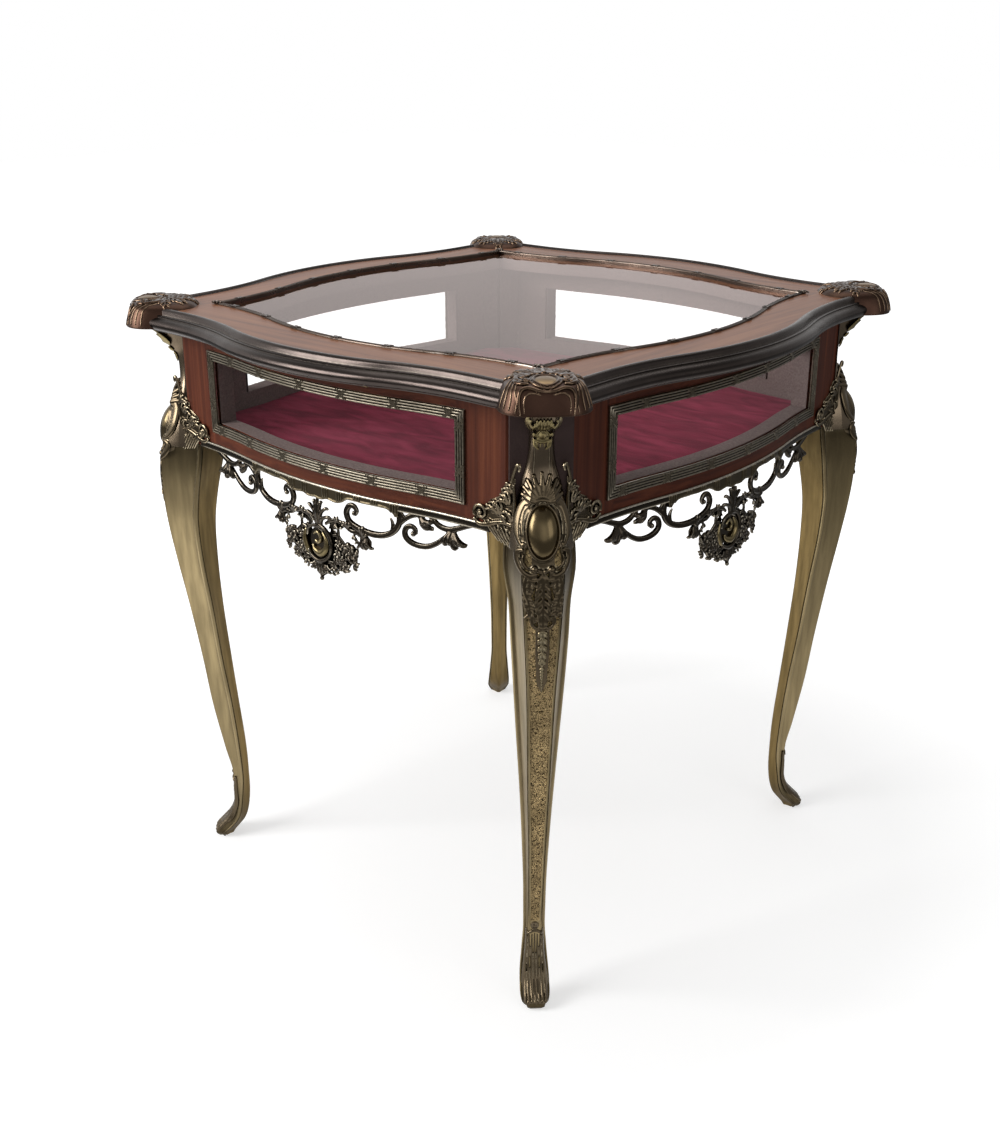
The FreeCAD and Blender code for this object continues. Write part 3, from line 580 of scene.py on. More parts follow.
metal("bead_bronze", (0.010, 0.007, 0.006), (0.105, 0.078, 0.062), (0.55, 0.48, 0.42), 0.26, 0.003, 0.6)
metal("trim_bronze", (0.02, 0.016, 0.012), (0.24, 0.20, 0.15), (0.8, 0.75, 0.64), 0.26, 0.003, 0.7)
# the strip on the cant behind the neck: painted shade
metal("cant_shade_bronze", (0.022, 0.016, 0.015), (0.088, 0.060, 0.056), (0.15, 0.11, 0.10), 0.45, 0.004, 0.2)
metal("hinge_brass", (0.12, 0.08, 0.03), (0.55, 0.40, 0.17), (0.75, 0.6, 0.32), 0.3, 0.003, 0.3)
metal("steel", (0.10, 0.095, 0.09), (0.42, 0.41, 0.39), (0.7, 0.69, 0.67), 0.3, 0.003, 0.3)
pane("side_pane", 1.20, (1.0, 1.0, 1.0), 0.35)
pane("lid_pane", 1.50, (1.0, 0.90, 0.87), 0.85)
velvet("velvet")
cloth("lining_cloth", (0.140, 0.102, 0.094), (0.240, 0.182, 0.170))
cloth("seam_cloth", (0.012, 0.007, 0.004), (0.050, 0.028, 0.014))


def finish_nodes(look, *names):
    """Gives nodes whose shape stays their material."""
    for name in names:
        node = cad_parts[name]
        node.data.materials.clear()
        node.data.materials.append(looks[look])


for side in SIDES:
    axis = "x" if along(side) == "y" else "y"
    finish_nodes("mahogany_along_" + axis, "top_rail_" + side, "bottom_rail_" + side)
    finish_nodes("veneer_along_" + axis, "lid_rail_" + side)
    finish_nodes("side_pane", "side_glass_" + side)
finish_nodes("mahogany_upright", *("corner_post_" + corner for corner in CORNERS))
finish_nodes("lid_pane", "lid_glass")
finish_nodes("lining_cloth", "interior_lining")
finish_nodes("plywood", "base_board")
finish_nodes("steel", "hinge_screws_case", "hinge_screws_lid", "leg_bolts", "key", "hinge_pin_left",
             "hinge_pin_right")
finish_nodes("hinge_brass", "striker_plate", "lock_body", "lock_bolt", "hinge_case_leaf_left",
             "hinge_case_leaf_right", "hinge_lid_leaf_left", "hinge_lid_leaf_right")
finish_nodes("pale_bronze", "escutcheon")


# ---------------------------------------------------------------- reeded frames and beads

def reeds(start, width, count, base, height):
    """The section of a reeded moulding: (across, out) points over its ribs."""
    steps = 6
    points = [(start, 0.0), (start, base)]
    for n in range(count):
        for k in range(steps + 1):
            turn = math.pi * k / steps
            across = start + width * (n + 0.5 - 0.47 * math.cos(turn))
            points.append((across, base + height * math.sin(turn)))
    return points + [(start + width * count, base), (start + width * count, 0.0)]


def tie(flat, s, z0, z1, out, upright=False, lean=6.0, thick=1.3, inset=0.9):
    """A crossed ribbon over a reeded moulding, from one edge of it to the other."""
    for hand in (-1, 1):
        for shift in (-1.5, 1.5):
            route = [(s + shift - hand * lean, z0 + inset), (s + shift, (z0 + z1) / 2),
                     (s + shift + hand * lean, z1 - inset)]
            flat.stroke([(z, x) for x, z in route] if upright else route, [thick] * 3, 0.8, out, 6)


def around_opening(half, section):
    """Carries a section, of (distance from the edge, out), round the opening of a side."""
    middle, tall = (SILL + HEAD) / 2, (HEAD - SILL) / 2
    sweep = [(-1 + 2 * k / 60, -1) for k in range(60)] + [(1, -1 + 2 * k / 12) for k in range(12)]
    sweep += [(-t, -v) for t, v in sweep]
    rows = []
    for t, v in sweep:
        rows.append([(t * (half + w), out, middle + v * (tall + w)) for w, out in section])
    return np.array(rows)


def around_sight(section):
    """Carries a section, of (distance inward, height), round the opening of the lid."""
    rows = []
    for side in ("back", "left", "front", "right"):
        end = SIGHT["x" if along(side) == "y" else "y"][0]
        for t in 1 - np.arange(70) / 35:
            row = [on_bow(SIGHT[along(side)], t * (end - w), -w, z) for w, z in section]
            rows.append(to_side(row, side))
    return np.array(rows)


REED = reeds(0.0, 3.1, 4, 1.5, 1.9)
FRAME_WIDTH, TIE_OUT = 12.4, 2.7
FRAME_TIES = ((HEAD, (-188, -120, -50, 15, 90, 155)), (SILL - FRAME_WIDTH, (-152, -88, -18, 52, 120, 185)))
SLEEVE = [(-0.05, -3.05), (-0.75, -3.05), (-0.75, -23.7), (-0.05, -23.7)]
for side in SIDES:
    curve, half = CASE[along(side)], GLAZED_HALF[along(side)]
    # the cloth on the reveals, between the glass and the lining
    rows = around_opening(half, SLEEVE)
    make_piece("reveal_lining_" + side, bend(rows, curve, side), loop_faces(rows), "lining_cloth",
               "case", "lining", crease=0)
    ring = Casting()
    rows = around_opening(half, REED)
    ring.add(rows, [face[::-1] for face in loop_faces(rows)])
    plain = len(ring.faces)
    for z, places in FRAME_TIES:
        for s in places:
            tie(ring, s * half / GLAZED_HALF["y"], z, z + FRAME_WIDTH, TIE_OUT)
    for low in (-half - FRAME_WIDTH, half):
        for z in (SILL + 24.0, HEAD - 5.0):
            tie(ring, z, low, low + FRAME_WIDTH, TIE_OUT, upright=True)
    points, faces = ring.parts()
    make_piece("reed_frame_visual_" + side, bend(points, curve, side, 0.05), faces,
               "pale_bronze ribbon_bronze", "case", "pale_bronze", stands_for="reed_frame_" + side,
               marks=[0] * plain + [1] * (len(faces) - plain), crease=50)

LIP_CLOTH = [(6.05, 733.3), (6.05, 748.7), (6.7, 748.7), (6.7, 733.3)]
rows = around_sight(LIP_CLOTH)
make_piece("lip_lining", rows, loop_faces(rows), "lining_cloth", "lid", "lining", crease=50)

# The bead round the glass of the lid, its ties and its corner rosettes. It is let into the wood.
BEAD = [(w, LID_TOP + h if h else LID_TOP - 3.0) for w, h in reeds(-2.0, 2.0, 3, 0.8, 1.4)]
ROSETTE_PLACE = (257.0, 267.0, LID_TOP)
BEAD_TIE_GAP = 74.0
ring = Casting()
for side in ("back", "left", "front", "right"):
    curve = SIGHT[along(side)]
    flat = Casting()
    for n in range(-3, 4):
        tie(flat, n * BEAD_TIE_GAP * curve[2] / SIGHT["y"][2], -4.2, 2.2, 2.2, lean=4.2, thick=1.1,
            inset=-0.2)
    points, faces = flat.parts()
    ring.add(bend(points[:, [0, 2, 1]] + (0, 0, LID_TOP), curve, side), [face[::-1] for face in faces])
rows = around_sight(BEAD)
ring.add(rows, loop_faces(rows))
rosette = Casting()
for k in range(6):
    turn = math.radians(60 * k + 15)
    reach = 8.5 if k % 3 == 0 else 6.5
    petal = [(share * reach * math.cos(turn), share * reach * math.sin(turn)) for share in (0.15, 0.6, 1.0)]
    rosette.stroke(petal, [0.8, 1.6, 0.7], 1, 2.0, 6, 0.8)
rosette.ball(0, 0, 1.8, 3.0)
points, faces = rosette.parts()
for corner in CORNERS:
    order = 1 if corner_flips(corner) else -1
    placed = to_corner(points[:, [0, 2, 1]] + ROSETTE_PLACE, corner)
    ring.add(placed, [face[::order] for face in faces])
make_piece("lid_bead_visual", *ring.parts(), "bead_bronze", "lid", "pale_bronze",
           stands_for="lid_glass_bead", crease=50)

# ---------------------------------------------------------------- the lid's bronze edge

# Out from the wooden edge, and height: the section of the bronze edge.
EDGE = [(-1.0, 735.0), (-1.0, 733.4), (13.0, 733.0), (15.0, 733.4), (15.6, 734.6), (17.0, 735.0),
        (20.4, 736.2), (22.6, 738.2), (23.8, 740.8), (24.0, 743.2), (23.2, 745.6), (21.2, 747.8),
        (18.2, 749.4), (15.6, 750.2), (15.0, 751.0), (15.2, 752.2), (14.2, 753.0), (12.6, 753.0),
        (11.6, 752.4), (10.6, 752.6), (10.0, 754.0), (9.6, 756.4), (8.2, 758.6), (6.0, 759.8),
        (3.8, 760.0), (2.0, 759.2), (1.2, 757.8), (-1.0, 757.4)]
EDGE_REACH = {"y": 288.0, "x": 294.0}
for side in SIDES:
    rows = along_side(TOP[along(side)], side, EDGE_REACH[along(side)], EDGE, 121)
    faces = tube_faces(len(rows), len(EDGE), ends_inward=True)
    make_piece("edge_moulding_visual_" + side, rows, faces, "edge_bronze", "lid", "dark_bronze", True,
               "edge_moulding_" + side, crease=40)

# ---------------------------------------------------------------- the legs

# Height, distances of front, rib and back from the middle of the table, width of the
# front panel and over the ribs.
LEG_STATIONS = np.array((
    (0, 422, 413, 403, 16, 22), (5, 426.5, 414, 400, 20, 29), (12, 424, 408, 394, 23, 33),
    (22, 414, 398, 386, 23, 33.5), (34, 404, 391, 381, 22, 33), (60, 396, 386, 376.5, 19, 29),
    (95, 396, 383, 375.5, 16, 24), (140, 404, 385, 376.5, 17, 24), (210, 416, 390, 382, 19, 28),
    (280, 424, 397.5, 387.5, 23, 35), (360, 435, 404, 393, 27, 45), (430, 446, 411, 395, 31, 53.5),
    (480, 452.5, 413, 393.5, 36, 59), (520, 455, 409, 387, 40, 63), (560, 453.5, 402, 378, 44, 74),
    (592, 448.5, 398, 374, 40, 70)), float)
# Height, distance of the front, width of the front panel and of the whole.
NECK_STATIONS = np.array(( (586, 449, 44, 66), (607, 444.5, 36, 61), (619, 441, 31, 55),
                          (637, 433.5, 25, 46), (656, 426.5, 20.5, 38), (666, 423.5, 19, 32),
                          (676, 423, 17.5, 28), (697, 425.5, 17, 25.5), (712, 435, 21, 29),
                          (724, 445, 26, 33), (731, 450, 28, 36)), float)
NECK_BACK = 406.0
NECK_BLEND = (586, 594)     # heights over which the face of the leg becomes the neck's
SHAFT_TOP, NECK_FOOT, NECK_TOP = 592, 584, 731
FIELD_FOOT = 104        # where the stippled field begins


def stations_at(table, z):
    """Every measure of a leg or its neck at some heights."""
    return [smooth(table[:, 0], column, z) for column in table.T[1:]]


def leg_face(z):
    """How far out the front of the leg is, and how wide, from the floor to the lid."""
    low, high = stations_at(LEG_STATIONS, z), stations_at(NECK_STATIONS, z)
    share = np.clip((np.asarray(z, float) - NECK_BLEND[0]) / (NECK_BLEND[1] - NECK_BLEND[0]), 0, 1)
    return [a * (1 - share) + b * share for a, b in ((low[0], high[0]), (low[3], high[1]))]


def shaft_section(z):
    """Half of the shaft's section from the middle of its front to the middle of its back,
    with the finish of each stretch: 1 for the stippled field, 2 for the back."""
    front, rib, back, panel, width = stations_at(LEG_STATIONS, z)
    a, b = panel / 2, width / 2
    dip = 0.8 * float(np.clip((z - 96) / 12, 0, 1))
    deep = 1.3 * float(np.clip((z - 60) / 60, 0.35, 1))
    points = [(0, front - dip), (a * 0.45, front - dip), (a - 3.4, front - dip),
              (a - 3.0, front - dip * 0.3), (a - 1.9, front - 0.1), (a - 1.5, front - 0.2 - deep),
              (a - 0.5, front - 0.7 - deep), (a + 0.3, front - 1.1)]
    start, corner, end = np.array([a, front]), np.array([b, rib]), np.array([2.5, back])
    size = np.linalg.norm(corner - start)
    way = (corner - start) / size
    out = np.array([-way[1], way[0]])
    bead = min(2.7, 0.7 + size * 0.06)
    centre = corner - way * bead
    for u in np.linspace(0.1, 1 - 2.6 * bead / size, 6):
        points.append(tuple(start + (corner - start) * u - out * 1.1 * math.sin(math.pi * u)))
    points.append(tuple(centre - way * (bead + 0.2) - out * 1.0))
    for turn in (0, 40, 90, 140, 180):
        spin = math.radians(turn)
        points.append(tuple(centre - way * bead * math.cos(spin) + out * bead * 0.9 * math.sin(spin)))
    marks = [1] * 3 + [0] * (len(points) - 1)
    size = np.linalg.norm(end - corner)
    way = (end - corner) / size
    out = np.array([-way[1], way[0]])
    points += [tuple(corner + way * g - out * d) for g, d in ((0.6, 1.5), (1.8, 1.5), (2.4, 0.2))]
    for u in (0.25, 0.5, 0.75, 0.92):
        points.append(tuple(corner + way * size * u - out * 0.5 * math.sin(math.pi * u)))
    points += [(2.4, back), (1.3, back - 0.5), (0, back - 0.7)]
    return points, marks + [2] * (len(points) - 1 - len(marks))


def leg_shaft():
    spans = ((0, 34, 14), (34, 110, 16), (110, SHAFT_TOP, 61))
    heights = [0, *(z for span in spans for z in np.linspace(*span)[1:])]
    rows, slots = [], []
    for z in heights:
        half, marks = shaft_section(z)
        rows.append([corner_point(t, r, z) for t, r in half + [(-t, r) for t, r in half[-2:0:-1]]])
    for z in heights[:-1]:
        slots += [mark if z > FIELD_FOOT or mark == 2 else 0 for mark in marks + marks[::-1]]
    faces = tube_faces(len(rows), len(rows[0]), ends_inward=True)
    return np.array(rows).reshape(-1, 3), faces, slots + [0, 0]


def leg_neck():
    rows = []
    for z in np.linspace(NECK_FOOT, NECK_TOP, 38):
        front, panel, width = (float(v) for v in stations_at(NECK_STATIONS, z))
        a, b = panel / 2, width / 2
        middle = (front + NECK_BACK) / 2
        half = [(0, front), (a * 0.5, front - 0.2), (a - 2.2, front - 1.0), (a - 1.6, front - 2.2),
                (a - 0.6, front - 2.4), (a, front - 2.0),
                (a + (b - a) * 0.5, front - (front - middle) * 0.4), (b - 0.5, middle + 1.5),
                (b, middle), (b, NECK_BACK)]
        rows.append([corner_point(t, r, z) for t, r in half + [(-t, r) for t, r in half[:0:-1]]])
    return np.array(rows).reshape(-1, 3), tube_faces(len(rows), len(rows[0]), ends_inward=True)


def leg_relief():
    """The ornament on the front of a leg."""
    cast = Casting()
    # a solid bed behind the knee's ornament
    bed = [(20, 566), (25.5, 580), (26.5, 600), (25.5, 616), (20, 632), (10, 641)]
    cast.plate(bed + [(-x, z) for x, z in bed[::-1]], -10, 0.0)
    # the frame of the smooth oval boss
    cast.ring(0, 606.5, 17.2, 27.4, 1.4, 0.9)
    cast.pair([(5, 641), (14, 638.5), (21.5, 630), (26, 616), (26.5, 603), (23, 594.5), (18.5, 596)],
              [1.5, 2.2, 2.7, 2.8, 2.6, 2.0, 1.6], 1, 1.8, groove=0.35)
    cast.pair([(12, 634), (18.5, 627), (21.4, 615), (21.6, 603)], [0.9, 1.3, 1.4, 1.0], 1, 1.5)
    cast.pair([(20, 590), (26, 587), (26.5, 577), (21.5, 568), (13, 563.5), (6, 565.5)],
              [1.5, 2.4, 2.7, 2.7, 2.3, 1.6], 1, 1.9, groove=0.35)
    cast.pair([(20, 585), (21.5, 578), (17, 571.5), (11, 569)], [1.0, 1.4, 1.4, 1.0], 1, 1.4)
    cast.pair([(23, 571), (15, 561.5), (7, 559.5), (0, 562)], [1.5, 2.2, 2.0, 1.6], 1, 1.4)
    for x, z, r in ((-8.8, 570, 3.9), (-2.6, 568, 2.6), (2.6, 568, 2.6), (8.6, 570.5, 3.7)):
        cast.ball(x, z, r, 1.8)
    # the shell over the oval
    cast.fan((0, 633), (30, 29, 29, 27, 27, 24.5, 24.5, 22, 22), (90, 73, 107, 56, 124, 39, 141, 22, 158),
             2.9, 1.4, 0.2, 1.15)
    cast.stroke([(-17, 633.5), (-8, 637), (0, 638.5), (8, 637), (17, 633.5)],
                [1.4, 2.1, 2.4, 2.1, 1.4], 1, 2.4)
    # acanthus below the knee
    cast.leaf((0, 566), (0, 513), 9.5, 6, 0, 0.6, 0.8, 1.3)
    cast.volute(-1.5, 560, 4.6, 20, 1.1, 1.3, 1, 1.6)
    cast.pair([(16, 567), (19.5, 556), (19, 545), (15.5, 535), (17.5, 525)],
              [1.7, 2.2, 2.2, 1.9, 1.2], 1, 1.6)
    cast.pair([(13, 521), (12, 512), (7.5, 506), (0, 503.5)], [1.0, 1.8, 2.0, 1.6], 1, 1.0)
    for hand in (-1, 1):
        cast.leaf((hand * 18.5, 548), (hand * 12.5, 522), 5.5, 4, 0, 0.9, 0.8, 1.15)
        cast.leaf((hand * 10, 568), (hand * 14.5, 541), 5.5, 4, hand * 1.5, 0.8, 0.8, 1.15)
        cast.sprig(hand * 16, 527, 10, (-90 + hand * 15, -90 - hand * 15, -90 - hand * 48), 1.3, 1.0)
        cast.volute(hand * 8.2, 516, 3.6, 250, 1.0, 1.1, hand, 0.9)
        cast.ball(hand * 17.5, 538.5, 1.9, 0.6)
    cast.leaf((0, 504), (0, 519), 5, 2, 0, 1.0, 0.8, 1.0)
    # the dark ground of the falling husks, partly patina and partly painted shade of the recess round them
    cast.plate([(-7.5, 506), (-7.5, 476), (-5.5, 440), (0, 426), (5.5, 440), (7.5, 476), (7.5, 506)], -1.6,
               0.1)
    # the button and the fluted leaf over the foot
    cast.ring(0, 98.5, 4.4, 4.4, 1.0, 0.2)
    cast.ball(0, 98.5, 2.9, 0.5, 0.8)
    cast.stroke([(-8.2, 87), (-4, 90.5), (0, 91.5), (4, 90.5), (8.2, 87)],
                [1.4, 1.8, 1.8, 1.8, 1.4], 1, 0.8)
    for k in range(-3, 4):
        top = 88 - 1.4 * abs(k)
        heights = [top + (11 - top) * u for u in (0, 0.3, 0.6, 0.85, 1)]
        route = [(k * (float(leg_face(z)[1]) / 2 + 1.0) / 3, z) for z in heights]
        cast.stroke(route, [0.8, 1.15, 1.35, 1.8, 1.3], 1.5, 0.3)
        cast.ball(*route[-1], 1.9 if k % 2 else 2.3, 0.4)
    cast.pair([(9.5, 94), (10, 70), (12, 45), (15, 24)], [1.2, 1.6, 1.8, 1.4], 1, -0.6)
    return cast.skin()


def husks():
    """The string of husks that falls down the front of a leg."""
    cast = Casting()
    for z, gap, r in ((498, 3.6, 2.5), (489.5, 3.8, 2.4), (481, 3.6, 2.3), (472.5, 3.2, 2.1),
                      (465, 2.6, 1.9)):
        cast.pair([(0, z + 4.5), (gap, z + 1.5), (gap * 0.9, z - 2.5)], [0.9, r * 0.8, r * 0.45], 1, 0.8)
        for hand in (-1, 1):
            cast.ball(hand * (gap + 0.3), z - 1, r * 0.75, 0.9)
        cast.ball(0, z - 3, 1.5, 1.0)
    for k in range(7):
        cast.ball(0, 457 - 3.7 * k, 3.3 - 0.3 * k, 0.4, 0.8, 0.5)
    cast.stroke([(0, 500), (0, 460), (0, 429)], [1.7, 1.5, 0.8], 1, 0.3)
    return cast.skin()


def capital():
    """The leafy capital at the top of a leg."""
    cast = Casting()
    for k in range(-2, 3):
        cast.stroke([(k * 3.6, 724), (k * 3.4, 717), (k * 2.7, 710.5)], [1.0, 1.6, 0.9], 1, 1.6)
    cast.pair([(14.5, 730), (17, 723), (15.5, 715), (11, 709.5)], [1.4, 1.9, 2.1, 1.5], 1, 1.2, groove=0.35)
    cast.pair([(12.5, 724), (14.5, 718.5), (11.5, 713.5), (8, 716), (9.6, 719.5)],
              [1.4, 2.1, 2.3, 2.0, 1.2], 1, 2.2)
    cast.pair([(9.6, 699), (8, 692.5), (3.6, 687.5)], [1.2, 1.6, 1.0], 1, 1.0, groove=0.3)
    for x in (2, 5.6):
        cast.pair([(x, 696), (x * 0.9, 690)], [1.2, 0.8], 1, 1.0)
    for hand in (-1, 1):
        cast.ball(hand * 9.2, 704.5, 2.2, 2.0, 1.0, 1.6)
    cast.ball(0, 703.5, 4.6, 0.6, 0.7, 1.2)
    cast.ring(0, 703.5, 6.2, 6.6, 0.9, 1.2)
    cast.stroke([(-9.5, 699), (0, 695.5), (9.5, 699)], [1.0, 1.5, 1.0], 1, 1.4)
    cast.stroke([(-15, 728.5), (0, 729.5), (15, 728.5)], [1.6, 2.0, 1.6], 1, 1.0)
    return cast.skin()


def on_leg(points, faces):
    """Lays a flat casting, of (across, out, up), on the front of a leg."""
    t, h, z = points.T
    front, panel = leg_face(z)
    over = np.maximum(np.abs(t) - panel / 2, 0)
    # let in a little, it falls back with the sides of the leg and is rounded across
    sunk, fallen, rounded = 0.25, np.minimum(over * 0.9, 12), 0.004 * t ** 2
    return corner_point(t, front - sunk - fallen - rounded + h, z), faces


EAR = ((-44, 604), (-43, 614), (-37, 620), (-27, 620), (-22, 628), (-15, 631), (-8, 635), (-7, 643),
       (-1, 649), (5, 653), (9, 660), (12, 655), (11, 645), (11, 633), (14, 624), (15, 590), (-12, 590),
       (-20, 596), (-27, 602))


def leg_ear():
    """A leafy ear: distance from the end of the bow, out of the case, up."""
    cast = Casting()
    cast.plate(EAR[::-1], 0.2, 1.0)
    # the eye, and the scroll it grows from
    cast.volute(-33, 612, 9.4, 210, 1.35, 2.1, -1, 2.9)
    cast.stroke([(-43, 604), (-36, 599), (-26, 600), (-15, 604), (-3, 607), (8, 606)],
                [1.6, 2.4, 2.6, 2.4, 2.2, 2.0], 1, 2.2, groove=0.4)
    # the leaf that laps over the shoulder of the leg
    for k in range(7):
        cast.stroke([(-30 + 5.2 * k, 605), (-21 + 5.2 * k, 596.5 - k), (-10 + 4.8 * k, 584.5 - 1.2 * k)],
                    [0.8, 1.35, 0.8], 1.3, 1.4, 8, 0.9)
    # leaves in tiers up to the hook
    cast.sprig(-8, 611, 20, (84, 102, 120, 138, 156), 1.35, 2.2)
    cast.sprig(-10, 612, 13, (-20, 8, 36, 60), 1.2, 2.0, -0.3)
    cast.sprig(4, 625, 17, (88, 107, 126, 145, 164), 1.3, 2.4)
    cast.sprig(8, 638, 13, (100, 122, 144, 166), 1.2, 2.2)
    cast.sprig(5, 608, 14, (60, 82, 104), 1.3, 2.2)
    cast.sprig(-20, 614, 11, (62, 90, 118), 1.2, 2.2)
    cast.stroke([(13, 598), (12, 614), (12, 630), (11, 642), (10, 651)],
                [1.5, 1.7, 1.6, 1.5, 1.4], 1.3, 2.2)
    cast.stroke([(7, 640), (7.5, 649), (8.5, 656), (12, 666), (15.5, 672.5), (18.5, 670.5), (17.5, 665.5)],
                [1.2, 1.6, 2.0, 2.0, 1.9, 1.7, 1.4], 1, 2.2)
    for x, z, r in ((-15, 627, 1.6), (-4, 643, 1.5), (2, 651, 1.5), (-9, 602, 1.8), (2, 600, 1.8),
                    (-22, 605, 1.6)):
        cast.ball(x, z, r, 3.0)
    return cast.skin()


# ---------------------------------------------------------------- the aprons

def lambrequin():
    """The fluted band under the middle of a side, on the face of the case."""
    cast = Casting()
    edge = [(0, 584), (10, 583), (20, 585.5), (34, 584), (44, 587), (50, 591), (62, 592.4), (74, 591.2),
            (92, 592.4), (106, 591.2), (112, 588), (116, 583), (120, 584), (121, 592)]
    cast.plate(edge + [(122, 598.5), (0, 598.5)], 0.1, 1.3)
    cast.plate(edge + [(0, 592.5)], -5.0, 1.2)
    cast.stroke([(x, z + 0.4) for x, z in edge[:11]], [1.0], 1, 1.4)
    for start, foot in ((14, 587), (36, 587), (62, 593.4), (86, 593.4), (111, 588)):
        for x in (start, start + 3.4, start + 6.8):
            cast.stroke([(x, 598), (x, (598 + foot) / 2), (x, foot)], [0.8, 1.05, 0.8], 1.3, 1.5, 6)
    cast.mirrored()
    return cast.skin()


def apron():
    """An apron: its right half, the mirror image, and the frame of its medallion."""
    cast = Casting()

    def ribbon(route, radii, lift=0.2):
        cast.stroke(route, radii, 0.95, lift, groove=0.45)

    # the scroll beside the pendant, rising to the end of the band
    ribbon([(57, 573), (60, 578), (56, 583), (49, 582), (44.5, 574), (47, 565.5), (55, 560.5), (68, 557),
            (83, 555.5), (98, 557.5), (110, 563.5), (117, 572), (119, 581), (116, 591)],
           [2.4, 2.8, 3.2, 3.6, 3.8, 3.6, 3.6, 3.8, 4.0, 3.9, 3.7, 3.7, 3.5, 3.0], 0.4)
    cast.ball(56.5, 575, 3.0, 1.0)
    ribbon([(111, 566), (120, 576), (130, 584.5), (141, 589), (153, 591)], [2.4, 3.0, 3.2, 3.0, 2.4])
    ribbon([(104, 558), (109, 565), (110, 574), (107, 580)], [1.4, 2.4, 2.2, 1.2], 1.0)
    ribbon([(126, 581), (121, 587), (112, 590)], [1.6, 2.4, 1.6])
    # the small leaf under the case
    cast.sprig(143, 590, 20, (-52, -36, -20), 2.6, 0.4, 0.25)
    ribbon([(141, 590), (148, 585), (154, 578), (162, 576)], [2.0, 3.4, 3.6, 2.4])
    # the ribbon from the case to the leg, and the hanging leaf
    ribbon([(154, 594), (162, 587), (170, 581.5), (181, 580), (193, 583.5), (206, 589), (218, 593),
            (230, 595)], [2.2, 3.0, 3.4, 3.4, 3.4, 3.2, 2.8, 2.4])
    cast.sprig(188, 582, 23, (-122, -104, -86, -68, -50), 3.0, 0.6, 0.2)
    # the loop with its eye
    ribbon([(139, 566), (138.5, 572), (132.5, 574.5), (126.5, 570.5), (125.5, 562.5), (131.5, 556.5),
            (142, 553.8), (154, 555), (165, 560.5), (175, 568.5), (186, 578), (198, 586)],
           [2.4, 2.8, 3.2, 3.4, 3.5, 3.6, 3.5, 3.4, 3.2, 3.0, 2.8, 2.2])
    cast.ball(136.5, 566.5, 3.3, 1.0)
    # thin webs that join the leaves of the pendant, with windows left between them
    low_web = [(10, 507), (20, 499), (31, 501), (42, 505), (53, 514), (59, 523), (58, 531), (50, 536),
               (40, 532), (33, 536), (24, 547), (16, 546)]
    high_web = [(12, 546), (24, 548), (33, 552), (44, 554), (52, 552), (58, 547), (66, 545), (72, 537),
                (78, 538), (79, 545), (72, 552), (60, 558), (46, 561), (30, 561), (18, 559)]
    tip_web = [(0, 512), (12, 508), (18, 500), (12, 492), (4, 487), (0, 484)]
    for web in (low_web, high_web, tip_web):
        cast.plate(web, -1.8, -0.9)
    # the crest of the pendant
    for x, z, sway in ((17, 562, 3.0), (13.5, 571.5, 3.5), (5.5, 577.5, 1.5)):
        cast.stroke([(x * 0.2, 548), (x * 0.6 - sway, (548 + z) / 2 + sway), (x, z), (x + sway, z - 1.5)],
                    [1.6, 2.4, 2.2, 1.3], 1.1, 1.4, 8, 1.2)
    cast.stroke([(0, 548), (0, 565), (0, 584)], [2.0, 2.6, 1.8], 1.1, 1.8, 8, 1.0)
    # the chain of leaves out to the hanging bud
    ribbon([(10, 552), (19, 558), (30, 560), (40, 558), (50, 553), (60, 552.5), (70, 549), (76, 541)],
           [2.0, 2.4, 2.4, 2.4, 2.6, 2.6, 2.6, 2.0], 0.6)
    cast.sprig(73, 552, 17, (-96, -80, -64), 2.0, 0.8, 0.25)
    cast.sprig(64, 551, 12, (12, 36, 60, 84), 1.5, 1.0, 0.3)
    cast.sprig(45, 554, 10, (60, 90, 120, 150), 1.4, 1.2, 0.3)
    cast.sprig(28, 558, 8, (65, 105, -60, -95), 1.4, 1.0, 0.3)
    cast.sprig(56, 550, 7, (-115, -70), 1.4, 0.8, 0.3)
    cast.ball(51, 560, 2.2, 1.8)
    ribbon([(66, 550), (65, 542), (59, 534)], [2.0, 2.2, 1.8], 0.8)
    cast.sprig(63, 540, 8, (-40, -5, 150, 185), 1.3, 0.8, 0.3)
    ribbon([(30, 552), (31, 545), (30, 537)], [1.8, 2.0, 1.8], 0.8)
    cast.ball(36, 553, 2.0, 1.4)
    # the flowers and leaves round the medallion
    for place in ((49, 526, 12.0, 0.8, 8), (31.5, 531, 7.5, 0.6, 6), (30, 517, 8.5, 1.0, 7),
                  (39, 507, 8.8, 0.8, 7), (24, 500, 8.0, 0.9, 6)):
        cast.flower(*place)
    ribbon([(22, 541), (29, 542), (36, 537), (42, 532)], [1.8, 2.2, 2.0, 1.6], 0.6)
    ribbon([(14, 507), (24, 508), (34, 511), (43, 517)], [1.8, 2.2, 2.2, 1.8], 1.4)
    cast.sprig(52, 514, 9.5, (-60, -28, 4, 36), 1.5, 0.8, 0.3)
    cast.sprig(9, 504, 14, (-112, -86, -60, -34), 1.6, 1.0, 0.3)
    for x in (-4.5, 0, 4.5):
        cast.stroke([(x * 0.4, 508), (x, 497), (x * 0.6, 485 + abs(x) * 0.7)],
                    [1.6, 2.1, 1.3], 1.2, 1.2, 8, 0.8)
    cast.ball(0, 483, 2.8, 0.6)
    cast.mirrored()
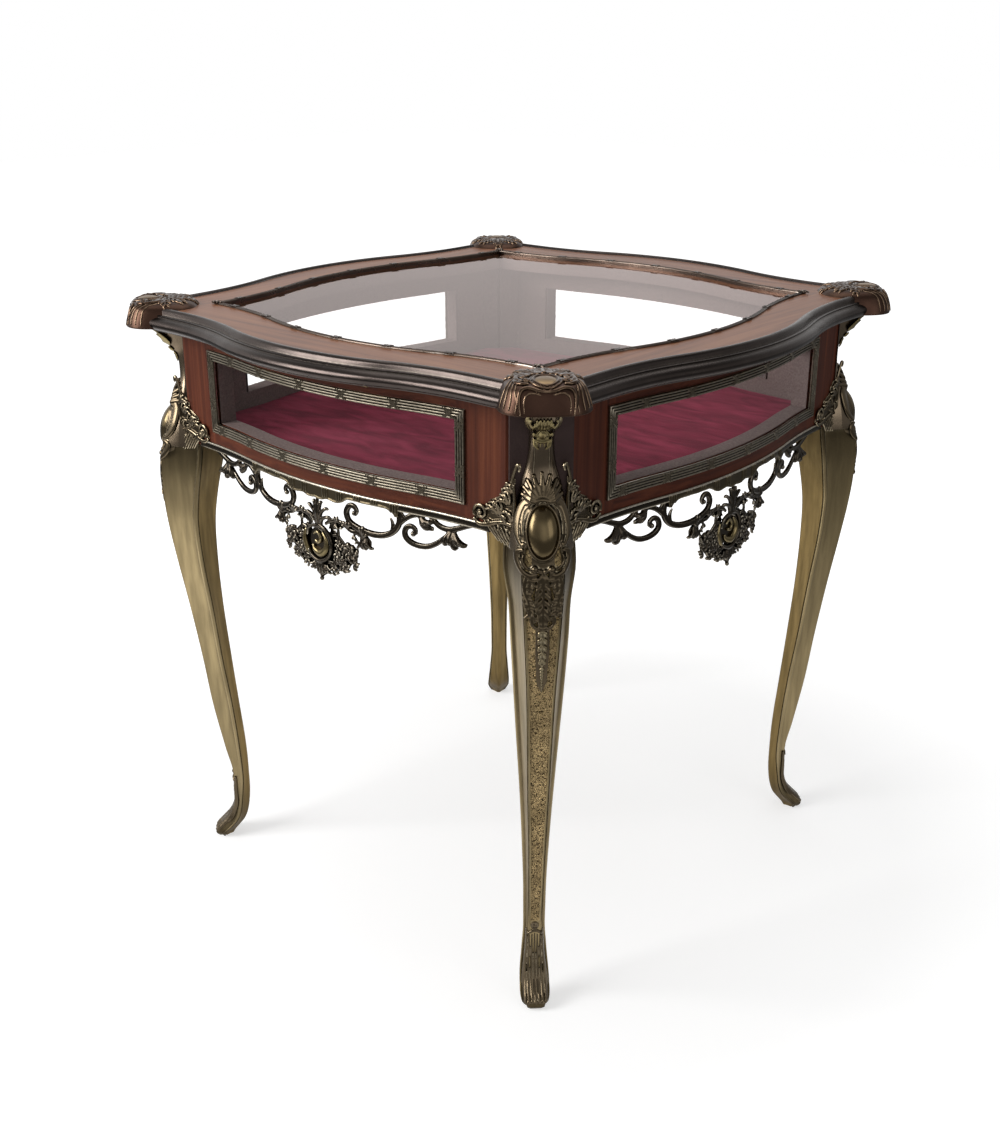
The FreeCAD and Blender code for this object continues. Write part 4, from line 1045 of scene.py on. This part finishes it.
    # the frame of the medallion, a scroll that isn't symmetrical
    cast.plate(oval_outline(0, 528, 18, 19, 24), -1.8, 0.4)
    cast.stroke([(10, 545.5), (-3, 549), (-14, 543), (-20, 531), (-18, 518), (-9, 508.5), (2, 505.5),
                 (13, 509), (19, 516)], [1.5, 2.3, 2.6, 2.6, 2.4, 2.6, 2.8, 2.4, 1.6], 1, 2.4)
    cast.stroke([(-7, 543), (5, 547.5), (16, 543), (20, 533)], [1.3, 2.0, 2.2, 1.3], 1, 2.4)
    return cast.skin()


def medallion():
    """The smooth crescents in the middle of a pendant."""
    cast = Casting()
    cast.stroke([(-5, 541), (-11.5, 533), (-11, 522), (-2, 514.5), (8, 517), (12, 523)],
                [1.4, 3.4, 4.8, 5.0, 3.6, 1.6], 0.9, 1.4, 12)
    cast.stroke([(22.5, 540), (25.5, 528), (21, 516), (13, 509.5)], [1.4, 3.2, 3.4, 1.4], 0.9, 1.8, 12)
    cast.stroke([(10, 536), (3, 540), (-2.5, 534), (1, 527.5), (7, 529)],
                [1.4, 2.0, 2.3, 2.3, 2.0], 1, 1.8, 10)
    return cast.skin(smoothing=3)


# ---------------------------------------------------------------- the corner caps

# A cap is a dome on a rounded plan: how far its level lines reach, as a share, and their height.
CAP_MIDDLE = 441.0
CAP_HALF, CAP_FRONT, CAP_BACK = 47.0, 40.5, 54.0
CAP_ROUND = 2.8         # the power of the plan's curve, 2 for an ellipse
CAP_PROFILE = spline(((0.0, 766.0), (0.3, 765.9), (0.54, 765.2), (0.70, 763.6), (0.80, 761.0),
                      (0.865, 757.2), (0.915, 752.0), (0.955, 746.5), (0.985, 741.2), (1.0, 737.6),
                      (0.99, 736.4), (0.90, 736.2)), 45)


def cap_reach(turn):
    """How far a cap reaches from its middle, across at 0 degrees and to the front at 90."""
    across, out = np.abs(np.cos(turn)), np.sin(turn)
    depth = np.where(out > 0, CAP_FRONT, CAP_BACK)
    return ((across / CAP_HALF) ** CAP_ROUND + (np.abs(out) / depth) ** CAP_ROUND) ** (-1 / CAP_ROUND)


def cap_surface(x, y):
    """A point of a cap from the way and the run over its face, from its middle: x across
    and y to the front."""
    turn, run = np.arctan2(y, x), np.hypot(x, y)
    reach = cap_reach(turn)
    share, height = CAP_PROFILE.T
    steps = np.hypot(np.outer(reach, np.diff(share)), np.diff(height))
    total = np.concatenate([np.zeros((len(reach), 1)), np.cumsum(steps, axis=1)], axis=1)
    k = np.clip((total <= run[:, None]).sum(1) - 1, 0, steps.shape[1] - 1)
    row = np.arange(len(reach))
    u = np.minimum((run - total[row, k]) / steps[row, k], 1)
    size = reach * (share[k] + u * (share[k + 1] - share[k]))
    z = height[k] + u * (height[k + 1] - height[k])
    return np.stack([size * np.cos(turn), CAP_MIDDLE + size * np.sin(turn), z], -1)


def cap_body():
    turns = np.linspace(0, 2 * math.pi, 72, endpoint=False)
    rows = []
    for share, height in CAP_PROFILE[1:]:
        reach = cap_reach(turns) * share
        rows.append(corner_point(reach * np.cos(turns), CAP_MIDDLE + reach * np.sin(turns), height))
    return np.array(rows).reshape(-1, 3), tube_faces(len(rows), len(turns))


def cap_relief():
    """The ornament of a cap: across, up off its face, and toward its front."""
    cast = Casting()
    # the cartouche, whose field is a piece of its own
    cast.plate(oval_outline(0, 14, 13, 15, 20)[::-1], -2, 0.9)
    cast.ring(0, 14, 12.4, 14.8, 1.3, 1.3)
    cast.ring(0, 14, 15.6, 18.0, 1.1, 0.7)
    # the brow over the plain front, and its second line
    cast.pair([(0, 35.5), (9, 34), (17, 30), (24, 30), (29.5, 35), (33, 43), (35.5, 52)],
              [1.2, 1.7, 2.0, 2.0, 1.9, 1.6, 1.2], 1, 0.5, groove=0.3)
    cast.pair([(6, 38.5), (15, 36), (22, 37), (27, 43), (30, 52)], [0.7, 1.0, 1.2, 1.0, 0.7])
    # scrolls beside the cartouche
    cast.pair([(15, 0), (21, -4), (27, 0), (28, 9), (24, 15)],
              [1.5, 2.2, 2.4, 2.2, 1.5], 1, 0.9, groove=0.3)
    cast.pair([(17, 24), (24, 22), (29, 16), (30, 8)], [1.4, 2.0, 2.0, 1.3], 1, 0.7)
    cast.pair([(16, -6), (8, -10), (0, -8)], [1.0, 1.4, 1.2], 1, 0.9)
    # the straps round the end
    for k in range(4):
        angle = math.radians(41 + 9 * k)
        x, z = 62.5 * math.sin(angle), 62.5 * math.cos(angle)
        cast.pair([(26 + 1.5 * k, 12 - 4.5 * k), (32 + 2.4 * k, 30 - 5.5 * k), (x * 0.86, z * 0.86),
                   (x, z)], [0.8, 1.1, 1.2, 1.0])
    # volutes, and leaves toward the glass
    for hand in (-1, 1):
        cast.volute(hand * 19.5, 16, 5.4, 90 - hand * 60, 1.2, 1.7, -hand, 1.2)
        cast.volute(hand * 21, 3, 4.2, 200, 1.1, 1.4, hand, 1.0)
        cast.volute(hand * 26, -3, 3.6, 160, 1.1, 1.2, hand, 0.8)
        cast.leaf((hand * 6, -6), (hand * 25, -31), 9.5, 5, -hand * 3.0, 0.1, 0.7, 1.15)
        cast.leaf((hand * 14, -2), (hand * 38, -12), 8.0, 4, -hand * 2.5, 0.1, 0.7, 1.1)
        cast.ball(hand * 12, -4, 2.2, 0.8)
    cast.leaf((0, -6), (0, -45), 9.5, 6, 0, 0.1, 0.7, 1.2)
    cast.ball(0, -9, 2.8, 1.2)
    return cast.skin()


def on_cap(points, faces):
    """Lays a flat casting, of (across, off the face, to the front), on a cap."""
    x, h, y = points.T
    x = np.where(np.abs(x) < 1e-6, 1e-6, x)
    across = cap_surface(x + 0.5, y) - cap_surface(x - 0.5, y)
    over = cap_surface(x, y + 0.5) - cap_surface(x, y - 0.5)
    normal = np.cross(across, over)
    normal /= np.linalg.norm(normal, axis=1)[:, None] + 1e-9
    return corner_point(*(cap_surface(x, y) + normal * h[:, None]).T), faces


# ---------------------------------------------------------------- casting everything

def lone_ball(*shape):
    """A single smooth boss."""
    cast = Casting()
    cast.ball(*shape)
    return cast.parts()


def lining_seam():
    """The braid over the seam of the lining."""
    radius, middle, foot, top = 1.8, 386.2, 606.0, 731.0
    turns = np.linspace(0, 2 * math.pi, 9)[:8]
    rows = [corner_point(radius * np.cos(turns), middle + radius * np.sin(turns), z) for z in (foot, top)]
    return np.array(rows).reshape(-1, 3), grid_faces(2, 8, wrap_columns=True)


def cant_shade_strip():
    """A dark strip on the canted face of the post, behind the neck: painted shade, where the lid and the
    neck shadow the post.
    """
    plan = ((-33, 412.05), (33, 412.05), (32, 413.0), (-32, 413.0))
    foot, top = 592.5, 731.5
    points = [corner_point(t, r, z) for z in (foot, top) for t, r in plan]
    return points, tube_faces(2, len(plan))


KNEE_BOSS = (0, 606.5, 15.6, -0.8, 0.6, 1.66)       # across, up, radius, lift, depth, tallness
CAP_FIELD = (0, 14, 10.8, 0.5, 0.2, 1.22)
ON_LEG, ON_CAP = ("case", "leg_brass"), ("lid", "dark_bronze")
shaft_points, shaft_faces, shaft_marks = leg_shaft()
# Name, shape at the +X +Y corner, materials, body and slot, whether its faces are turned
# there, the node it stands for, and how its faces and edges are finished.
corner_pieces = (
    ("leg_shaft", (shaft_points, shaft_faces), "leg_brass leg_field leg_inner", ON_LEG, True, "leg",
     {"marks": shaft_marks, "crease": 32}),
    ("leg_neck", leg_neck(), "neck_bronze", ON_LEG, True, "", {"crease": 40}),
    ("leg_relief", on_leg(*leg_relief()), "leg_ornament", ON_LEG, False, "", {}),
    ("leg_husks", on_leg(*husks()), "husk_gilt", ON_LEG, False, "", {}),
    ("leg_boss", on_leg(*lone_ball(*KNEE_BOSS)), "knee_gilt", ON_LEG, False, "", {}),
    ("leg_capital", on_leg(*capital()), "head_gilt", ON_LEG, False, "", {}),
    ("corner_cap_visual", cap_body(), "dark_bronze", ON_CAP, False, "corner_cap", {"crease": 50}),
    ("corner_cap_relief", on_cap(*cap_relief()), "cap_gilt", ON_CAP, False, "", {}),
    ("corner_cap_field", on_cap(*lone_ball(*CAP_FIELD)), "field_gilt", ON_CAP, False, "", {}),
    ("lining_seam", lining_seam(), "seam_cloth", ("case", "lining"), True, "", {}),
    ("cant_shade_strip", cant_shade_strip(), "cant_shade_bronze", ("case", "dark_bronze"), False, "", {"crease": 0}))
for corner in CORNERS:
    for name, (points, faces), finish, (body, slot), turned, node, edges in corner_pieces:
        make_piece(f"{name}_{corner}", to_corner(points, corner), faces, finish, body, slot,
                   corner_flips(corner) != turned, node and f"{node}_{corner}", **edges)

# The strip along the lower edge of the case, under its thin bright bead: (out, up). The strip takes the
# dark apron bronze as a painted shadow line under the bead.
TRIM = [(0.0, 591.6), (-6.5, 591.2), (-6.5, 590.6), (0.6, 590.6), (1.2, 591.4), (1.0, 593.4), (0.5, 595.2),
        (0.6, 597.4), (1.6, 597.6), (2.5, 598.2), (2.8, 599.0), (2.4, 599.9), (1.2, 600.4), (0.0, 600.4)]
# the strip's dark faces are a painted shadow line under the bead
TRIM_MARKS = [0] * 7 + [1] * 5 + [0] * 2       # the bead is the bright part
APRON_BACK = -4.6       # how far the aprons hang behind the face of the case
ear_points, ear_faces = leg_ear()
apron_points, apron_faces = apron()
band_points, band_faces = lambrequin()
boss_points, boss_faces = medallion()
for side in SIDES:
    curve = CASE[along(side)]
    for word, hand in (("a", -1), ("b", 1)):
        turned = (ear_points + (curve[2], 0, 0)) * (hand, 1, 1)
        make_piece(f"leg_ear_{side}_{word}", bend(turned, curve, side), ear_faces, "leg_ornament", "case",
                   "leg_brass", hand < 0)
    # the arms of an apron are longer on the longer sides, and its pendant isn't
    arm = np.clip((np.abs(apron_points[:, 0]) - 80) / 30, 0, 1)
    stretched = apron_points.copy()
    stretched[:, 0] *= 1 + (curve[2] / CASE["y"][2] - 1) * arm
    make_piece("apron_visual_" + side, bend(stretched, curve, side, APRON_BACK), apron_faces,
               "apron_bronze", "case", "bronze", stands_for="apron_" + side)
    make_piece("lambrequin_" + side, bend(band_points, curve, side), band_faces, "band_bronze", "case",
               "bronze")
    make_piece("medallion_" + side, bend(boss_points, curve, side, APRON_BACK), boss_faces, "boss_gilt",
               "case", "bronze")
    rows = along_side(curve, side, curve[2] - 24, TRIM, 90)
    faces = tube_faces(len(rows), len(TRIM), ends_inward=True)
    make_piece("case_bead_" + side, rows, faces, "apron_bronze trim_bronze", "case", "bronze",
               marks=TRIM_MARKS * (len(rows) - 1) + [0, 0], crease=45)

# ---------------------------------------------------------------- the velvet pad

PAD_INSET = 24.1        # from the outer face of the case
PAD_CANT = 385.5        # how far out it reaches at its corners
PAD_RIM, PAD_FOOT = 605.5, 602.2
PAD_COUNT = 90


def pad_point(x, y):
    """The top of the pad over a place on it, which is first brought inside its edge."""
    y_max = float(bow(CASE["y"], x) - PAD_INSET)
    x_max = float(bow(CASE["x"], y) - PAD_INSET)
    x, y = math.copysign(min(abs(x), x_max), x), math.copysign(min(abs(y), y_max), y)
    far = OUTWARD[0] * abs(x) + OUTWARD[1] * abs(y)
    if far > PAD_CANT:
        x -= math.copysign(OUTWARD[0] * (far - PAD_CANT), x)
        y -= math.copysign(OUTWARD[1] * (far - PAD_CANT), y)
    rim = min(y_max - abs(y), x_max - abs(x), PAD_CANT - min(far, PAD_CANT))
    crown = 1 - math.exp(-max(rim, 0) / 7.0)
    ripple = noise.noise(Vector((x * 0.012, y * 0.012, 0.3))) * 1.1
    ripple += noise.noise(Vector((x * 0.04, y * 0.04, 4.1))) * 0.45
    return x, y, PAD_RIM + (4.2 + ripple) * crown


pad_x, pad_y = np.array(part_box("velvet_pad")[1][:2]) / MM
spread = np.linspace(-1, 1, PAD_COUNT)
top = np.array([pad_point(u * pad_x, v * pad_y) for v in spread for u in spread])
index = np.arange(PAD_COUNT ** 2).reshape(PAD_COUNT, PAD_COUNT)
border = np.concatenate([index[0], index[1:, -1], index[-1, -2::-1], index[-2:0:-1, 0]])
skirt = top[border] * (1, 1, 0) + (0, 0, PAD_FOOT)
foot = np.arange(len(border)) + PAD_COUNT ** 2
faces = grid_faces(PAD_COUNT, PAD_COUNT)
faces += list(zip(border, foot, np.roll(foot, -1), np.roll(border, -1)))
faces.append(tuple(foot)[::-1])
pad = make_piece("velvet_cushion", np.vstack([top, skirt]), faces, "velvet", "case", "velvet",
                 stands_for="velvet_pad")

# ---------------------------------------------------------------- floor, light and camera

WINDOW_WAY = (0.757, 0.653)     # the way to the bright end of the room
DOOR_WAY = (-0.17, 0.98)        # the way to a darker patch beside it

mesh = bpy.data.meshes.new("floor")
mesh.from_pydata([(-9, -9, 0), (9, -9, 0), (9, 9, 0), (-9, 9, 0)], [], [(0, 1, 2, 3)])
floor = bpy.data.objects.new("floor", mesh)
bpy.context.scene.collection.objects.link(floor)
# White to the camera and through glass, with the table's shadow kept near the table. In
# metal and glass it is bright toward the window and under the table, and dim elsewhere.
tree = Tree("floor_white")
away = tree.add("VectorMath", {0: tree.place()}, operation="LENGTH").outputs["Value"]
glow = tree.add("Emission", {"Color": (1, 1, 1), "Strength": tree.level(away, 0.55, 1.4, 0.60, 1.0)})
ray = tree.add("LightPath").outputs
bright_end = tree.level(tree.toward(tree.place(), *WINDOW_WAY), 0.2, 0.6, 0.0, 0.95)
mirrored = tree.math("MAXIMUM", tree.times(bright_end, tree.level(away, 1.25, 1.65, 1.0, 0.1)),
                     tree.level(away, 0.55, 1.35, 0.8, 0.14))
shade = tree.math("MAXIMUM", tree.math("SUBTRACT", 1.0, ray["Is Glossy Ray"]), mirrored)
paint = tree.add("BsdfDiffuse", {"Color": tree.times(shade, 0.55)})
seen = tree.math("MAXIMUM", ray["Is Camera Ray"], ray["Is Transmission Ray"])
seen = tree.math("MAXIMUM", seen, tree.times(ray["Is Glossy Ray"], mirrored))
both = tree.add("AddShader", {0: paint.outputs[0], 1: glow.outputs[0]})
tree.show(tree.add("MixShader", {"Fac": seen, 1: paint.outputs[0], 2: both.outputs[0]}))
mesh.materials.append(tree.material)

# The studio: white where the camera or glass looks, and near the horizon in reflections,
# with a darker ceiling and a darker end of the room on the -X side.
tree = Tree("studio", world=True)
bpy.context.scene.world = tree.material
way = tree.add("TexCoord").outputs["Generated"]
height = tree.add("SeparateXYZ", {"Vector": way}).outputs["Z"]
room = tree.times(tree.level(tree.toward(way, *WINDOW_WAY), -0.8, -0.1, 0.35, 1.0),
                  tree.level(tree.toward(way, *DOOR_WAY), 0.72, 0.97, 1.0, 0.35))
ray = tree.add("LightPath").outputs
mirror = tree.times(ray["Is Glossy Ray"], tree.level(height, 0.45, 0.7, 1.0, 0.3))
soft = tree.times(tree.math("SUBTRACT", 1.0, ray["Is Glossy Ray"]), 0.36)
seen = tree.math("MAXIMUM", ray["Is Camera Ray"], ray["Is Transmission Ray"])
strength = tree.math("MAXIMUM", seen, tree.times(room, tree.math("ADD", mirror, soft)))
tree.show(tree.add("Background", {"Color": (1, 1, 1), "Strength": strength}))


def aimed(name, data, place, aim):
    """A lamp or camera at a place, turned to what it looks at."""
    thing = bpy.data.objects.new(name, data)
    thing.location = place
    thing.rotation_euler = (Vector(aim) - thing.location).to_track_quat("-Z", "Y").to_euler()
    bpy.context.scene.collection.objects.link(thing)
    return thing


def softbox(name, place, aim, size, power):
    lamp = bpy.data.lights.new(name, "AREA")
    lamp.shape = "RECTANGLE"
    lamp.size, lamp.size_y = size
    lamp.energy = power
    aimed(name, lamp, place, aim)


softbox("key_window", (1.35, 2.35, 1.75), (0.0, 0.1, 0.45), (1.5, 1.6), 74)
softbox("fill", (-2.6, 0.2, 1.3), (0.0, 0.0, 0.45), (1.2, 1.6), 6)
softbox("overhead", (0.2, -0.3, 2.6), (0.0, 0.0, 0.6), (2.0, 2.0), 18)

lens = bpy.data.cameras.new("camera")
lens.lens = 44.85
lens.sensor_width = 36.0
lens.sensor_fit = "AUTO"
lens.clip_end = 60.0
bpy.context.scene.camera = aimed("camera", lens, (-1.139, 1.350, 1.096), (-0.0341, 0.069, 0.4286))
bpy.context.scene.view_settings.view_transform = "Standard"
